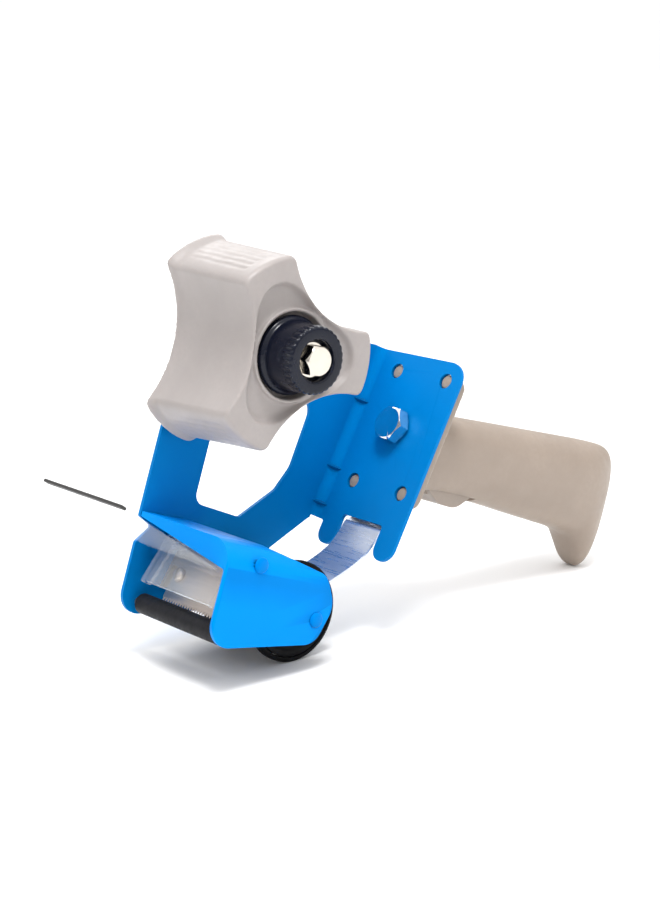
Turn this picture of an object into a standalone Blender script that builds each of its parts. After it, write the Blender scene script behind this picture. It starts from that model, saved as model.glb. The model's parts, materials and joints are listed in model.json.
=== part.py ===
"""Hand-held tape gun dispenser for 48 mm packing tape on a 76 mm core.

Everything is drawn in the gun's own frame, in millimetres, and turned into metres when a mesh
is made: +X points forward towards the tape outlet, +Y from the side plate to the open side,
+Z up, with the handle level and the origin on the hub's axis at the side plate's inner face.
The empty "gun" then stands the whole thing on its press wheels and the heel of its handle.
"""

import math

import bmesh
import bpy
from mathutils import Matrix, Vector

MM = 0.001
GAP = 0.3  # clearance kept between touching pieces

# Steelwork
SHEET = 1.5
HEAD_WIDTH = 57.0  # side plate's inner face to the near cheek's outer face
LEAN = math.radians(10.5)  # the rear plate leans back from square to the handle
REAR_X, REAR_Z = -80.1, -16.9  # rear plate's front face, level with its middle
REAR_WIDTH = 49.8
REAR_TOP, REAR_FOOT = 32.0, -51.0
BEND = 1.5  # inner radius of the folds
PEG_Y, PEG_H = (13.3, 41.7), (-23.4, 24.1)
BOLT_Y, BOLT_H = 25.7, 1.5
NOTCH_Y, NOTCH_H = (15.5, 39.0), -37.5
GUSSETS = (8.7, -20.6, -36.0)
PLATE_TOP = 13.8  # level top edge of the side plate
WEB_Z = -69.3  # top of the head's web
HEAD_FRONT = 11.7

# Tape hub, tension knob and spindle, all on the origin's Y axis
HUB_FAR, HUB_NEAR = 6.0, 51.0
HUB_PHASE = 53.0
HUB_LIP_SHAPE = (40.0, 19.5, 21.6)  # arm radius, half angle of an arm, valley radius
HUB_FAR_SHAPE = (38.1, 20.0, 21.0)
HUB_NEAR_SHAPE = (36.4, 20.0, 19.5)
HUB_LIP_DEPTH = 3.0
HUB_WALL = 2.4
ARM_CORNER = 1.4  # how far an arm's corners are drawn in
KNOB_SEAT = 46.6
KNOB_FRONT = 63.5
KNOB_DISH = 59.0  # floor of the knob's recess for the washer and nut
KNOB_R = 12.4
TEETH, TOOTH_DEPTH = 30, 0.45
SPINDLE_R = 4.0
SPINDLE_STEP = 57.6
THREAD_R = 3.0

# Rollers and pivots in the head, as (x, z)
ROLLER = (2.9, -103.2)
ROLLER_R = 3.9
WHEEL = (-35.4, -91.9)
WHEEL_R = 19.4
TYRE_Y = ((11.5, 16.0), (40.0, 44.5))
GUARD_PIVOT = (-3.5, -75.6)
WHEEL_AXLE_R, GUARD_ROD_R, ROLLER_AXLE_R = 2.0, 1.5, 1.5
BRAKE_PIVOT = (-81.6, -50.4)
TRIGGER_PIVOT = (-100.5, -33.0)
HINGE_PIN_R = 1.2
ROD_HEAD_R, ROD_HEAD_HEIGHT = 3.0, 1.0
BORE_GAP = 0.3  # radial play of a pin or rod in its hole

# Handle
HANDLE_Y = 25.5
HEEL = (-201.2, -54.3)  # lowest point of the hooked tip, which the gun rests on

COLOURS = {
    "blue_paint": ((0.0, 0.22, 0.60), 0.38, 0.0),
    "bright_blue_paint": ((0.0, 0.30, 0.82), 0.38, 0.0),
    "beige_plastic": ((0.50, 0.42, 0.37), 0.45, 0.0),
    "navy_plastic": ((0.015, 0.018, 0.035), 0.30, 0.0),
    "chrome": ((0.80, 0.80, 0.80), 0.12, 1.0),
    "steel": ((0.60, 0.57, 0.53), 0.35, 1.0),
    "black_rubber": ((0.012, 0.012, 0.013), 0.70, 0.0),
    "dark_plastic": ((0.05, 0.05, 0.05), 0.50, 0.0),
    "clear_plastic": ((0.85, 0.90, 0.92), 0.08, 0.0),
    "brass": ((0.60, 0.42, 0.15), 0.30, 1.0),
}


def clear_scene():
    for obj in list(bpy.data.objects):
        bpy.data.objects.remove(obj, do_unlink=True)


def material(name):
    found = bpy.data.materials.get(name)
    if found:
        return found
    colour, roughness, metallic = COLOURS[name]
    made = bpy.data.materials.new(name)
    made.use_nodes = True
    shader = made.node_tree.nodes["Principled BSDF"]
    shader.inputs["Base Color"].default_value = (*colour, 1)
    shader.inputs["Roughness"].default_value = roughness
    shader.inputs["Metallic"].default_value = metallic
    return made


# ---------------------------------------------------------------- outlines


def rounded(corners, step=18):
    """An outline whose corners (u, v, radius) are turned into arcs, one point per step degrees."""
    points = []
    count = len(corners)
    for i, (u, v, radius) in enumerate(corners):
        here = Vector((u, v))
        if not radius:
            points.append((u, v))
            continue
        back = (Vector(corners[i - 1][:2]) - here).normalized()
        ahead = (Vector(corners[(i + 1) % count][:2]) - here).normalized()
        half = back.angle(ahead) / 2
        centre = here + (back + ahead).normalized() * radius / math.sin(half)
        start = here + back * radius / math.tan(half) - centre
        end = here + ahead * radius / math.tan(half) - centre
        turn = start.angle_signed(end)
        steps = max(2, math.ceil(abs(math.degrees(turn)) / step))
        for k in range(steps + 1):
            spoke = start.copy()
            spoke.rotate(Matrix.Rotation(-turn * k / steps, 2))
            points.append(tuple(centre + spoke))
    return points


def polar(radius, degrees):
    turn = math.radians(degrees)
    return Vector((radius * math.cos(turn), radius * math.sin(turn)))


def circle(centre, radius, sides=24):
    turns = (2 * math.pi * k / sides for k in range(sides))
    return [(centre[0] + radius * math.cos(t), centre[1] + radius * math.sin(t)) for t in turns]


def ribbon(path, thickness):
    """The outline of a strip of even thickness that follows a path."""
    left, right = [], []
    for i, here in enumerate(path):
        here = Vector(here)
        before = Vector(path[max(i - 1, 0)])
        after = Vector(path[min(i + 1, len(path) - 1)])
        first = (here - before).normalized() if i else (after - here).normalized()
        second = (after - here).normalized() if i < len(path) - 1 else first
        along = (first + second).normalized()
        side = Vector((-along.y, along.x)) * thickness / 2 / max(along.dot(first), 0.3)
        left.append(tuple(here + side))
        right.append(tuple(here - side))
    return left + right[::-1]


def hub_outline(shape, points_in_valley=9):
    """Three arms with round lands and eased corners, joined by circular valleys."""
    reach, half, valley = shape
    points = []
    for arm in range(3):
        middle = HUB_PHASE + 120 * arm
        for part in (-1, -0.85, -0.45, 0, 0.45, 0.85, 1):
            points.append(tuple(polar(reach - ARM_CORNER * abs(part) ** 12, middle + half * part)))
        out = polar(1, middle + 60)
        corner = reach - ARM_CORNER
        chord = corner * math.sin(math.radians(60 - half))
        depth = corner * math.cos(math.radians(60 - half)) - valley
        radius = (chord**2 + depth**2) / (2 * depth)
        swing = math.degrees(math.asin(chord / radius))
        for k in range(1, points_in_valley + 1):
            turn = middle + 240 + swing * (1 - 2 * k / (points_in_valley + 1))
            points.append(tuple(out * (valley + radius) + polar(radius, turn)))
    return points


# ---------------------------------------------------------------- solids


def finish(name, bm, colour, smooth=35.0):
    bmesh.ops.remove_doubles(bm, verts=bm.verts, dist=1e-6)
    bmesh.ops.recalc_face_normals(bm, faces=bm.faces)
    bmesh.ops.scale(bm, vec=(MM, MM, MM), verts=bm.verts)
    mesh = bpy.data.meshes.new(name)
    bm.to_mesh(mesh)
    bm.free()
    obj = bpy.data.objects.new(name, mesh)
    bpy.context.scene.collection.objects.link(obj)
    mesh.materials.append(material(colour))
    mesh.shade_smooth()
    mesh.set_sharp_from_angle(angle=math.radians(smooth))
    return obj


def loft(name, rings, colour="steel"):
    """A closed skin through rings of equal length, with flat ends."""
    bm = bmesh.new()
    rows = [[bm.verts.new(point) for point in ring] for ring in rings]
    for first, second in zip(rows, rows[1:]):
        for i in range(len(first)):
            j = (i + 1) % len(first)
            bm.faces.new((first[i], first[j], second[j], second[i]))
    bm.faces.new(rows[0][::-1])
    bm.faces.new(rows[-1])
    return finish(name, bm, colour)


def prism_y(name, outline, low, high, colour="steel"):
    """An outline (x, z) extruded along Y."""
    return loft(name, [[(x, y, z) for x, z in outline] for y in (low, high)], colour)


def prism_x(name, outline, low, high, colour="steel"):
    """An outline (y, z) extruded along X."""
    return loft(name, [[(x, y, z) for y, z in outline] for x in (low, high)], colour)


def prism_z(name, outline, low, high, colour="steel"):
    """An outline (x, y) extruded along Z."""
    return loft(name, [[(x, y, z) for x, y in outline] for z in (low, high)], colour)


def turned(name, centre, profile, colour="steel", sides=32):
    """A profile of (radius, y) turned about the Y axis through centre (x, z)."""
    bm = bmesh.new()
    verts = [bm.verts.new((radius, y, 0)) for radius, y in profile]
    edges = [bm.edges.new(pair) for pair in zip(verts, verts[1:])]
    if min(radius for radius, _ in profile) > 0:
        edges.append(bm.edges.new((verts[-1], verts[0])))
    full_turn = {"angle": 2 * math.pi, "steps": sides, "use_merge": True}
    bmesh.ops.spin(bm, geom=verts + edges, cent=(0, 0, 0), axis=(0, 1, 0), **full_turn)
    bmesh.ops.translate(bm, vec=(centre[0], 0, centre[1]), verts=bm.verts)
    return finish(name, bm, colour)


def pin(name, centre, radius, low, high, colour="steel", sides=24):
    return turned(name, centre, [(0, low), (radius, low), (radius, high), (0, high)], colour, sides)


def tube(name, centre, inner, outer, low, high, colour="steel", sides=32):
    profile = [(inner, low), (outer, low), (outer, high), (inner, high)]
    return turned(name, centre, profile, colour, sides)


def coil(name, centre, radius, wire, low, high, turns, colour="steel", sides=6, per_turn=14):
    """A helix about the Y axis through centre, with flat-cut ends."""
    rings = []
    count = int(turns * per_turn)
    for i in range(count + 1):
        turn = 2 * math.pi * i / per_turn
        middle = low + (high - low) * i / count
        out = Vector((math.cos(turn), 0, math.sin(turn)))
        ring = []
        for k in range(sides):
            t = 2 * math.pi * k / sides
            spoke = out * math.cos(t) + Vector((0, 1, 0)) * math.sin(t)
            ring.append(out * radius + spoke * wire / 2 + Vector((centre[0], middle, centre[1])))
        rings.append(ring)
    return loft(name, rings, colour)


def combine(target, operation, *tools):
    """Boolean the tools into the target one by one, and remove them."""
    for tool in tools:
        modifier = target.modifiers.new(operation, "BOOLEAN")
        modifier.operation = operation
        modifier.object = tool
        bpy.context.view_layer.update()
        graph = bpy.context.evaluated_depsgraph_get()
        mesh = bpy.data.meshes.new_from_object(target.evaluated_get(graph))
        target.modifiers.remove(modifier)
        target.data = mesh
        bpy.data.objects.remove(tool, do_unlink=True)
    target.data.shade_smooth()
    target.data.set_sharp_from_angle(angle=math.radians(35))
    return target


def cut(target, *tools):
    return combine(target, "DIFFERENCE", *tools)


def fuse(target, *tools):
    return combine(target, "UNION", *tools)


def recolour(obj, colour):
    """One material in place of those that Booleans bring along."""
    obj.data.materials.clear()
    obj.data.materials.append(material(colour))
    return obj


def move(obj, matrix):
    """Place a mesh that was drawn in millimetres in a local frame."""
    scaled = matrix.copy()
    scaled.translation = matrix.translation * MM
    obj.data.transform(scaled)
    return obj


def on_axis(obj, pivot):
    """Put a moving piece's origin on its joint's axis, given as (x, z)."""
    point = Vector((pivot[0], 0, pivot[1])) * MM
    obj.data.transform(Matrix.Translation(-point))
    obj.location = point
    return obj


# The rear plate's own frame: X out of its front face, Y across, Z up its face.
REAR = Matrix.Translation((REAR_X, 0, REAR_Z)) @ Matrix.Rotation(-LEAN, 4, "Y")
# A turned piece's axis (Y) laid along the rear plate's backward normal.
REARWARD = REAR @ Matrix.Rotation(math.radians(90), 4, "Z")


def rear_point(depth, height):
    """(x, z) in the gun's frame of a point so far behind the rear plate's face and up it."""
    point = REAR @ Vector((-depth, 0, height))
    return point.x, point.z


def rearward(obj, y, height):
    """Stand a turned piece behind the rear plate's face, its Y axis pointing back."""
    return move(obj, REARWARD @ Matrix.Translation((y, 0, height)))


# ---------------------------------------------------------------- frame


def side_plate():
    """Flat side with the hub's arm, the trapezoid window and the far cheek; rear plate folded off it."""
    top = rear_point(-BEND, REAR_TOP)
    foot = rear_point(-BEND, -41.6)
    outline = rounded(
        [
            (*top, 0),
            (12, PLATE_TOP, 11),
            (12, -71.5, 1),
            (5.4, -74.5, 1),
            (11.1, -81.2, 2),
            (11.0, -109.5, 8),
            (-38, -101, 8),
            (-42, -86, 6),
            (-54, -73.4, 4),
            (-70.8, -57.7, 1),
            (*foot, 0),
        ]
    )
    window = rounded(
        [
            (-11.3, -19, 5),
            (-11.4, -62.4, 4.5),
            (-34.5, -64.4, 1.5),
            (-49, -51, 6),
            (-54, -41, 10),
            (-57.5, -11, 7),
        ]
    )
    plate = prism_y("side_plate", outline, -SHEET, 0, "blue_paint")
    holes = [prism_y("cut", window, -5, 5)]
    for centre, radius in (
        ((0, 0), SPINDLE_R),
        (WHEEL, WHEEL_AXLE_R),
        (GUARD_PIVOT, GUARD_ROD_R),
        (ROLLER, ROLLER_AXLE_R),
    ):
        holes.append(pin("cut", centre, radius + BORE_GAP, -5, 5))
    cut(plate, *holes)
    return fuse(plate, rear_fold(), rear_plate(), *(gusset(height) for height in GUSSETS))


def rear_fold():
    """Quarter-round fold between the side plate and the rear plate."""
    arc = [(math.cos(t), math.sin(t)) for t in (math.pi + math.pi / 2 * k / 6 for k in range(7))]
    inner = [(BEND + BEND * u, BEND + BEND * v) for u, v in arc]
    outer = [(BEND + (BEND + SHEET) * u, BEND + (BEND + SHEET) * v) for u, v in arc]
    outline = inner + outer[::-1]
    heights = (-41.6, REAR_TOP)
    fold = loft("fold", [[(x, y, h) for x, y in outline] for h in heights], "blue_paint")
    return move(fold, REAR)


def rear_plate():
    low, high = NOTCH_Y
    outline = rounded(
        [
            (BEND, REAR_TOP, 0),
            (REAR_WIDTH, REAR_TOP, 8),
            (REAR_WIDTH, REAR_FOOT, 5.5),
            (high, REAR_FOOT, 4.5),
            (high, NOTCH_H, 1.5),
            (low, NOTCH_H, 1.5),
            (low, REAR_FOOT, 4.5),
            (5.5, REAR_FOOT, 5.0),
            (5.5, -42.0, 1.0),
            (BEND, -41.6, 0),
        ]
    )
    plate = prism_x("rear", outline, -SHEET, 0, "blue_paint")
    holes = []
    for y in PEG_Y:
        for height in PEG_H:
            holes.append(prism_x("cut", circle((y, height), 3.1), -5, 5))
    holes.append(prism_x("cut", circle((BOLT_Y, BOLT_H), 4.4), -5, 5))
    return move(cut(plate, *holes), REAR)


def gusset(height):
    """Small pressed stiffener across the inside of the fold."""
    size, half, root = 4.2, 2.2, -0.4
    bm = bmesh.new()
    low = bm.verts.new((root, root, height - half))
    high = bm.verts.new((root, root, height + half))
    ahead = bm.verts.new((size, root, height))
    across = bm.verts.new((root, size, height))
    for corners in ((low, high, ahead), (high, low, across), (low, ahead, across), (high, across, ahead)):
        bm.faces.new(corners)
    return move(finish("gusset", bm, "blue_paint"), REAR)


def head_block(inset, bend, corner):
    """The head cover's outside as a solid block, or its inside when inset by the sheet's thickness."""
    front, top, width = HEAD_FRONT + 0.1 - inset, WEB_Z - inset, HEAD_WIDTH - inset
    far = GAP - 5 * inset
    across = rounded([(far, -130, 0), (far, top, 0), (width, top, bend), (width, -130, 0)])
    plan = rounded([(-60, far - 1, 0), (front, far - 1, 0), (front, width, corner), (-60, width, 0)])
    block = prism_x("head_cover", across, -60, 30, "bright_blue_paint")
    return combine(block, "INTERSECT", prism_z("plan", plan, -130, -40))


def head_cover():
    """Pressed cover: web over the head, big bend, near cheek, and a lip hanging in front of the web."""
    side = rounded(
        [
            (HEAD_FRONT, WEB_Z + 2, 0),
            (HEAD_FRONT, -108.4, 8.5),
            (-37.5, -101.0, 8),
            (-42.5, -86, 9),
            (-36, -74.9, 5),
            (-8.6, -69.2, 3),
            (-8.6, WEB_Z + 2, 0),
        ]
    )
    cover = combine(
        head_block(0, 10.5, 1.2), "INTERSECT", prism_y("side", side, -5, HEAD_WIDTH + 5)
    )
    near = HEAD_WIDTH - SHEET
    mouth = rounded([(-2, -70.9, 0), (near, -79.6, 1.2), (near, -120, 0), (-2, -120, 0)])
    cut(cover, head_block(SHEET, 9.0, 0.3), prism_x("mouth", mouth, 5, 20))
    for centre, radius in ((WHEEL, WHEEL_AXLE_R), (GUARD_PIVOT, GUARD_ROD_R)):
        cut(cover, pin("cut", centre, radius + BORE_GAP, 50, 60))
    return recolour(cover, "bright_blue_paint")


# ---------------------------------------------------------------- handle and brake


def handle():
    """One moulding: flange, four locating pegs, barrel and hooked heel, with the trigger's pocket."""
    body = handle_barrel()
    back = SHEET + GAP
    plate = rounded([(4, 27.5, 6), (47.5, 27.5, 6), (47.5, -28.5, 6), (4, -28.5, 6)])
    flange = move(prism_x("flange", plate, -back - 5, -back), REAR)
    pegs = []
    for y in PEG_Y:
        for height in PEG_H:
            peg = [(0, 0.7), (2.2, 0.7), (2.8, 1.2), (2.8, back + 1), (0, back + 1)]
            pegs.append(rearward(turned("peg", (0, 0), peg, sides=20), y, height))
    foot = rear_point(back + 2.5, -26)
    ears = []
    for low in (12.6, 38.6):
        ear = rounded(
            [
                (foot[0] - 2.5, foot[1] + 3, 0),
                (foot[0] + 2.5, foot[1] + 3, 0),
                (BRAKE_PIVOT[0] + 2.6, BRAKE_PIVOT[1] - 2.6, 2.5),
                (BRAKE_PIVOT[0] - 2.6, BRAKE_PIVOT[1] - 2.6, 2.5),
            ]
        )
        ears.append(prism_y("ear", ear, low, low + 2.6))
    fuse(body, flange)
    cut(body, move(prism_x("cut", [(-20, -60), (80, -60), (80, 60), (-20, 60)], -back, 20), REAR))
    fuse(body, *pegs, *ears)
    bore = rearward(pin("cut", (0, 0), 4.4, -2, 27.4), BOLT_Y, BOLT_H)
    insert_seat = rearward(pin("cut", (0, 0), 7.3, 12.7, 27.3), BOLT_Y, BOLT_H)
    pocket = prism_y("cut", [(-125, -60), (-125, -26.5), (-92, -26.5), (-92, -60)], 17.2, 33.8)
    channel = prism_y("cut", [(-93, -60), (-93, -31), (-74, -31), (-74, -60)], 15.6, 38.2)
    brake_hole = pin("cut", BRAKE_PIVOT, HINGE_PIN_R + BORE_GAP, 5, 45)
    trigger_hole = pin("cut", TRIGGER_PIVOT, HINGE_PIN_R + BORE_GAP, 5, 36)
    cut(body, bore, insert_seat, pocket, channel, brake_hole, trigger_hole)
    return recolour(body, "beige_plastic")


def handle_barrel():
    """Rounded barrel swept back through stations of (x, top, bottom, half width)."""
    stations = [
        (-83.5, -5.5, -41.0, 15.0),
        (-88, -6.2, -40.2, 14.3),
        (-96, -6.2, -38.4, 13.6),
        (-108, -5.4, -37.4, 13.6),
        (-131, -3.9, -37.6, 13.9),
        (-155, -2.4, -38.9, 14.3),
        (-177, -1.0, -40.0, 14.4),
        (-184, -0.6, -40.7, 14.3),
        (-189, -0.4, -42.3, 13.9),
        (-192.5, -0.3, -45.8, 13.3),
        (-195.5, -0.3, -49.8, 12.5),
        (-198.4, -0.5, -53.2, 11.5),
        (HEEL[0], -1.2, HEEL[1], 10.0),
        (-203.7, -2.8, -51.2, 8.2),
        (-205.6, -5.4, -45.0, 6.0),
        (-206.9, -12.0, -34.0, 2.6),
    ]
    sides, square = 24, 0.72
    rings = []
    for x, top, bottom, half in stations:
        middle, reach = (top + bottom) / 2, (top - bottom) / 2
        ring = []
        for k in range(sides):
            spoke = polar(1, 360 * (k + 0.5) / sides)
            across = math.copysign(abs(spoke.x) ** square, spoke.x) * half
            up = math.copysign(abs(spoke.y) ** square, spoke.y) * reach
            ring.append((x, HANDLE_Y + across, middle + up))
        rings.append(ring)
    return loft("handle", rings, "beige_plastic")


def hex_solid(name, across_flats, base, crown, chamfer, colour="chrome"):
    """Hexagonal prism along Y from base to crown, with its crown's corners turned down to a cone."""
    corner, flat = across_flats / math.sqrt(3), across_flats / 2
    side = math.copysign(1, crown - base)
    block = prism_y(name, circle((0, 0), corner, 6), base, crown, colour)
    profile = [
        (0, base - side),
        (corner + 2, base - side),
        (corner + 2, crown - side * (chamfer + 1.2)),
        (flat * 0.97, crown),
        (0, crown),
    ]
    return combine(block, "INTERSECT", turned("cone", (0, 0), profile, sides=36))


def handle_bolt():
    """Hex bolt from the front of the rear plate into the handle's insert."""
    bolt = hex_solid("handle_bolt", 13.0, -0.3, -5.9, 0.3)
    shank = pin("shank", (0, 0), 4.0, -1.0, 25.0, "chrome")
    return rearward(fuse(bolt, shank), BOLT_Y, BOLT_H)


def handle_insert():
    """Threaded insert moulded into the handle's neck."""
    insert = tube("handle_insert", (0, 0), 4.3, 7.0, 13.0, 27.0, "brass", 24)
    return rearward(insert, BOLT_Y, BOLT_H)


def brake_strip():
    """Sprung steel strip: curled round its pin behind the plate, through the notch, down to the wheel."""
    path = [
        (-80.6, -52.6),
        (-78.0, -54.2),
        (-75.6, -55.2),
        (-74.0, -56.6),
        (-73.0, -59.4),
        (-71.4, -63.0),
        (-69.2, -66.6),
        (-65.2, -70.8),
        (-60.6, -74.7),
        (-56.6, -77.8),
        (-53.2, -80.7),
        (-51.2, -84.0),
        (-50.6, -87.4),
    ]
    low, high = 16.8, 37.9
    strip = prism_y("brake_strip", ribbon(path, 0.9), low, high, "chrome")
    knuckle = tube("knuckle", BRAKE_PIVOT, 1.6, 2.6, low, high, "chrome", 20)
    tail = prism_y("tail", ribbon([(-83.4, -50.4), (-86.6, -48.2), (-90.6, -46.2)], 0.9), 19, 32, "chrome")
    return on_axis(fuse(strip, knuckle, tail), BRAKE_PIVOT)


def brake_pin():
    return pin("brake_pin", BRAKE_PIVOT, HINGE_PIN_R, 11.5, 42.0, "steel", 16)


def trigger():
    """Finger trigger under the handle's neck, with a nose that bears on the brake strip's tail."""
    outline = rounded(
        [
            (-97.0, -29.6, 3),
            (-97.6, -36.0, 3),
            (-105.5, -41.0, 8),
            (-115.5, -41.4, 9),
            (-123.6, -34.5, 4),
            (-124.2, -29.8, 1),
        ]
    )
    lever = prism_y("trigger", outline, 17.6, 33.4, "beige_plastic")
    nose = rounded(
        [
            (-103, -29.8, 0),
            (-103, -38, 0),
            (-96, -38.4, 6),
            (-89.4, -44.2, 1),
            (-88.2, -41.2, 1),
            (-95, -31.5, 5),
        ]
    )
    fuse(lever, prism_y("nose", nose, 20, 31, "beige_plastic"))
    cut(lever, pin("cut", TRIGGER_PIVOT, HINGE_PIN_R + BORE_GAP, 10, 40))
    return on_axis(recolour(lever, "beige_plastic"), TRIGGER_PIVOT)


def trigger_pin():
    return pin("trigger_pin", TRIGGER_PIVOT, HINGE_PIN_R, 13.4, 35.5, "steel", 16)


# ---------------------------------------------------------------- tape hub


def hub_ring(shape, y, factor=1.0):
    return [(x * factor, y, z * factor) for x, z in hub_outline(shape)]


def hub():
    """Tapered three-armed hub, open at the back, lipped there, and recessed round the knob."""
    shell = loft(
        "hub",
        [
            hub_ring(HUB_LIP_SHAPE, HUB_FAR),
            hub_ring(HUB_FAR_SHAPE, HUB_FAR + HUB_LIP_DEPTH),
            hub_ring(HUB_NEAR_SHAPE, HUB_NEAR - 1.6),
            hub_ring(HUB_NEAR_SHAPE, HUB_NEAR, 0.955),
        ],
        "beige_plastic",
    )
    rings = []
    for shape, y in ((HUB_FAR_SHAPE, HUB_FAR - 1), (HUB_NEAR_SHAPE, 41.0)):
        reach, half, valley = shape
        thinner = half - math.degrees(HUB_WALL / reach)
        rings.append(hub_ring((reach - HUB_WALL, thinner, valley - HUB_WALL), y))
    recess = turned("cut", (0, 0), [(0, 45), (15.6, 45), (16.8, 51), (16.8, 54), (0, 54)])
    cut(shell, loft("cut", rings), recess)
    boss = pin("boss", (0, 0), 8.2, HUB_FAR, 42.5)
    fuse(shell, boss, *(hub_rib(arm) for arm in range(3)))
    cut(shell, pin("cut", (0, 0), 5.3, 0, 60, sides=32))
    return on_axis(recolour(shell, "beige_plastic"), (0, 0))


def hub_rib(arm):
    """Web from the boss out to an arm's land."""
    half, root, end = 0.9, 6.8, 35.9
    section = [(root, -half), (end, -half), (end, half), (root, half)]
    rib = prism_y("rib", section, HUB_FAR + 3, 42.0)
    rib.data.transform(Matrix.Rotation(-math.radians(HUB_PHASE + 120 * arm), 4, "Y"))
    return rib


def hub_bush():
    return on_axis(tube("hub_bush", (0, 0), 4.3, 5.0, HUB_FAR, 44.8, "dark_plastic", 28), (0, 0))


def hub_spindle():
    """Stud riveted into the side plate and stepped down to a thread for the knob's nut."""
    profile = [
        (0, -3.9),
        (4.5, -3.7),
        (7.0, -2.8),
        (7.6, -SHEET - GAP),
        (SPINDLE_R, -SHEET - GAP),
        (SPINDLE_R, SPINDLE_STEP),
        (THREAD_R, SPINDLE_STEP),
        (THREAD_R, 64.0),
        (0, 64.0),
    ]
    return turned("hub_spindle", (0, 0), profile, "steel", 28)


def hub_spacer():
    return tube("hub_spacer", (0, 0), 4.3, 8.0, GAP, HUB_FAR - GAP, "steel", 28)


def friction_washer():
    washer = tube("friction_washer", (0, 0), 4.3, 12.5, 45.3, 46.3, "dark_plastic", 32)
    return on_axis(washer, (0, 0))


def tension_spring():
    return coil("tension_spring", (0, 0), 6.4, 1.3, 47.4, 55.2, 4, "steel")


def knob():
    """Flanged tension knob with fine teeth round its front, dished for the nut and cored for the spring."""
    front = KNOB_FRONT
    profile = [
        (9.0, KNOB_SEAT),
        (13.9, KNOB_SEAT),
        (14.6, KNOB_SEAT + 0.7),
        (14.6, KNOB_SEAT + 2.0),
        (14.0, KNOB_SEAT + 2.7),
        (12.9, KNOB_SEAT + 3.2),
        (12.3, 54.0),
        (KNOB_R - 0.4, front - 5),
        (KNOB_R - 0.4, front - 0.8),
        (KNOB_R - 1.1, front),
        (8.0, front),
        (7.4, front - 0.8),
        (7.4, KNOB_DISH),
        (4.3, KNOB_DISH),
        (4.3, 57.0),
        (9.0, 57.0),
    ]
    body = turned("knob", (0, 0), profile, "navy_plastic", 40)
    points_per_tooth = 3
    outline = []
    for k in range(TEETH * points_per_tooth):
        dip = TOOTH_DEPTH * (0.5 - 0.5 * math.cos(2 * math.pi * k / points_per_tooth))
        outline.append(tuple(polar(KNOB_R - dip, 360 * k / TEETH / points_per_tooth)))
    grip = prism_y("grip", outline, front - 4.6, front - 0.6, "navy_plastic")
    cut(grip, pin("cut", (0, 0), 10.0, 50, 65))
    return on_axis(fuse(body, grip), (0, 0))


def knob_washer():
    return on_axis(tube("knob_washer", (0, 0), THREAD_R + BORE_GAP, 6.5, 59.3, 60.2, "chrome", 32), (0, 0))


def knob_nut():
    """Hexagonal cap nut on the spindle's thread."""
    nut = hex_solid("knob_nut", 10.0, 60.5, 65.0, 0.2)
    return on_axis(cut(nut, pin("cut", (0, 0), THREAD_R + BORE_GAP, 58, 64.3)), (0, 0))


# ---------------------------------------------------------------- rollers


def front_roller():
    """Rubber sleeve on a tube that turns on a fixed axle standing from the side plate."""
    start, end = 3.0, HEAD_WIDTH - SHEET - 2 * GAP
    sleeve = tube("front_roller_sleeve", ROLLER, 2.9, ROLLER_R, start, end, "black_rubber", 28)
    core = tube("front_roller_core", ROLLER, 1.8, 2.6, start, end, "dark_plastic", 20)
    on_axis(sleeve, ROLLER)
    on_axis(core, ROLLER)
    pin("front_roller_axle", ROLLER, ROLLER_AXLE_R, -SHEET, HEAD_WIDTH - SHEET - GAP, "steel", 20)


def press_wheels():
    """Two rubber tyres on one drum; the brake strip bears on the drum between them."""
    (far, far_in), (near_in, near) = TYRE_Y
    bore, drum, seat, dish = 2.3, 13.2, 17.2, 14.4
    profile = [
        (bore, far - 0.8),
        (5.5, far - 0.8),
        (5.5, far + 1.6),
        (dish, far + 1.6),
        (dish + 0.6, far + 0.2),
        (seat, far + 0.2),
        (seat, far_in - 0.2),
        (drum, far_in + 0.4),
        (drum, near_in - 0.4),
        (seat, near_in + 0.2),
        (seat, near - 0.2),
        (dish + 0.6, near - 0.2),
        (dish, near - 1.6),
        (5.5, near - 1.6),
        (5.5, near + 0.8),
        (bore, near + 0.8),
    ]
    on_axis(turned("wheel_drum", WHEEL, profile, "dark_plastic", 40), WHEEL)
    for name, (low, high) in (("far_tyre", TYRE_Y[0]), ("near_tyre", TYRE_Y[1])):
        ring = [
            (seat + GAP, low),
            (WHEEL_R - 0.7, low),
            (WHEEL_R, low + 0.9),
            (WHEEL_R, high - 0.9),
            (WHEEL_R - 0.7, high),
            (seat + GAP, high),
        ]
        on_axis(turned(name, WHEEL, ring, "black_rubber", 48), WHEEL)
    for name, low, high in (("far_wheel_spacer", GAP, far - 1.1), ("near_wheel_spacer", near + 1.1, 55.2)):
        tube(name, WHEEL, 2.3, 3.6, low, high, "dark_plastic", 20)


def headed_rod(name, centre, radius):
    """Rod across the head with a low domed rivet head outside each cheek."""
    dome = [(0, 1.0), (0.6, 0.85), (0.92, 0.45), (1.0, 0)]
    head = [(ROD_HEAD_R * wide, ROD_HEAD_HEIGHT * high) for wide, high in dome]
    far, near = -SHEET - GAP, HEAD_WIDTH + GAP
    profile = [(r, far - h) for r, h in head]
    profile += [(radius, far), (radius, near)]
    profile += [(r, near + h) for r, h in reversed(head)]
    return turned(name, centre, profile, "bright_blue_paint", 24)


# ---------------------------------------------------------------- blade and guard

BLADE_TIP = (-3.4, -100.4)
BLADE_TOP = (-9.6, -79.0)
BLADE_LOW = 6.2  # the blade's end next to the side plate
BLADE_SCREW_Y, BLADE_SCREW_Z = (9.8, 46), 11


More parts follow.
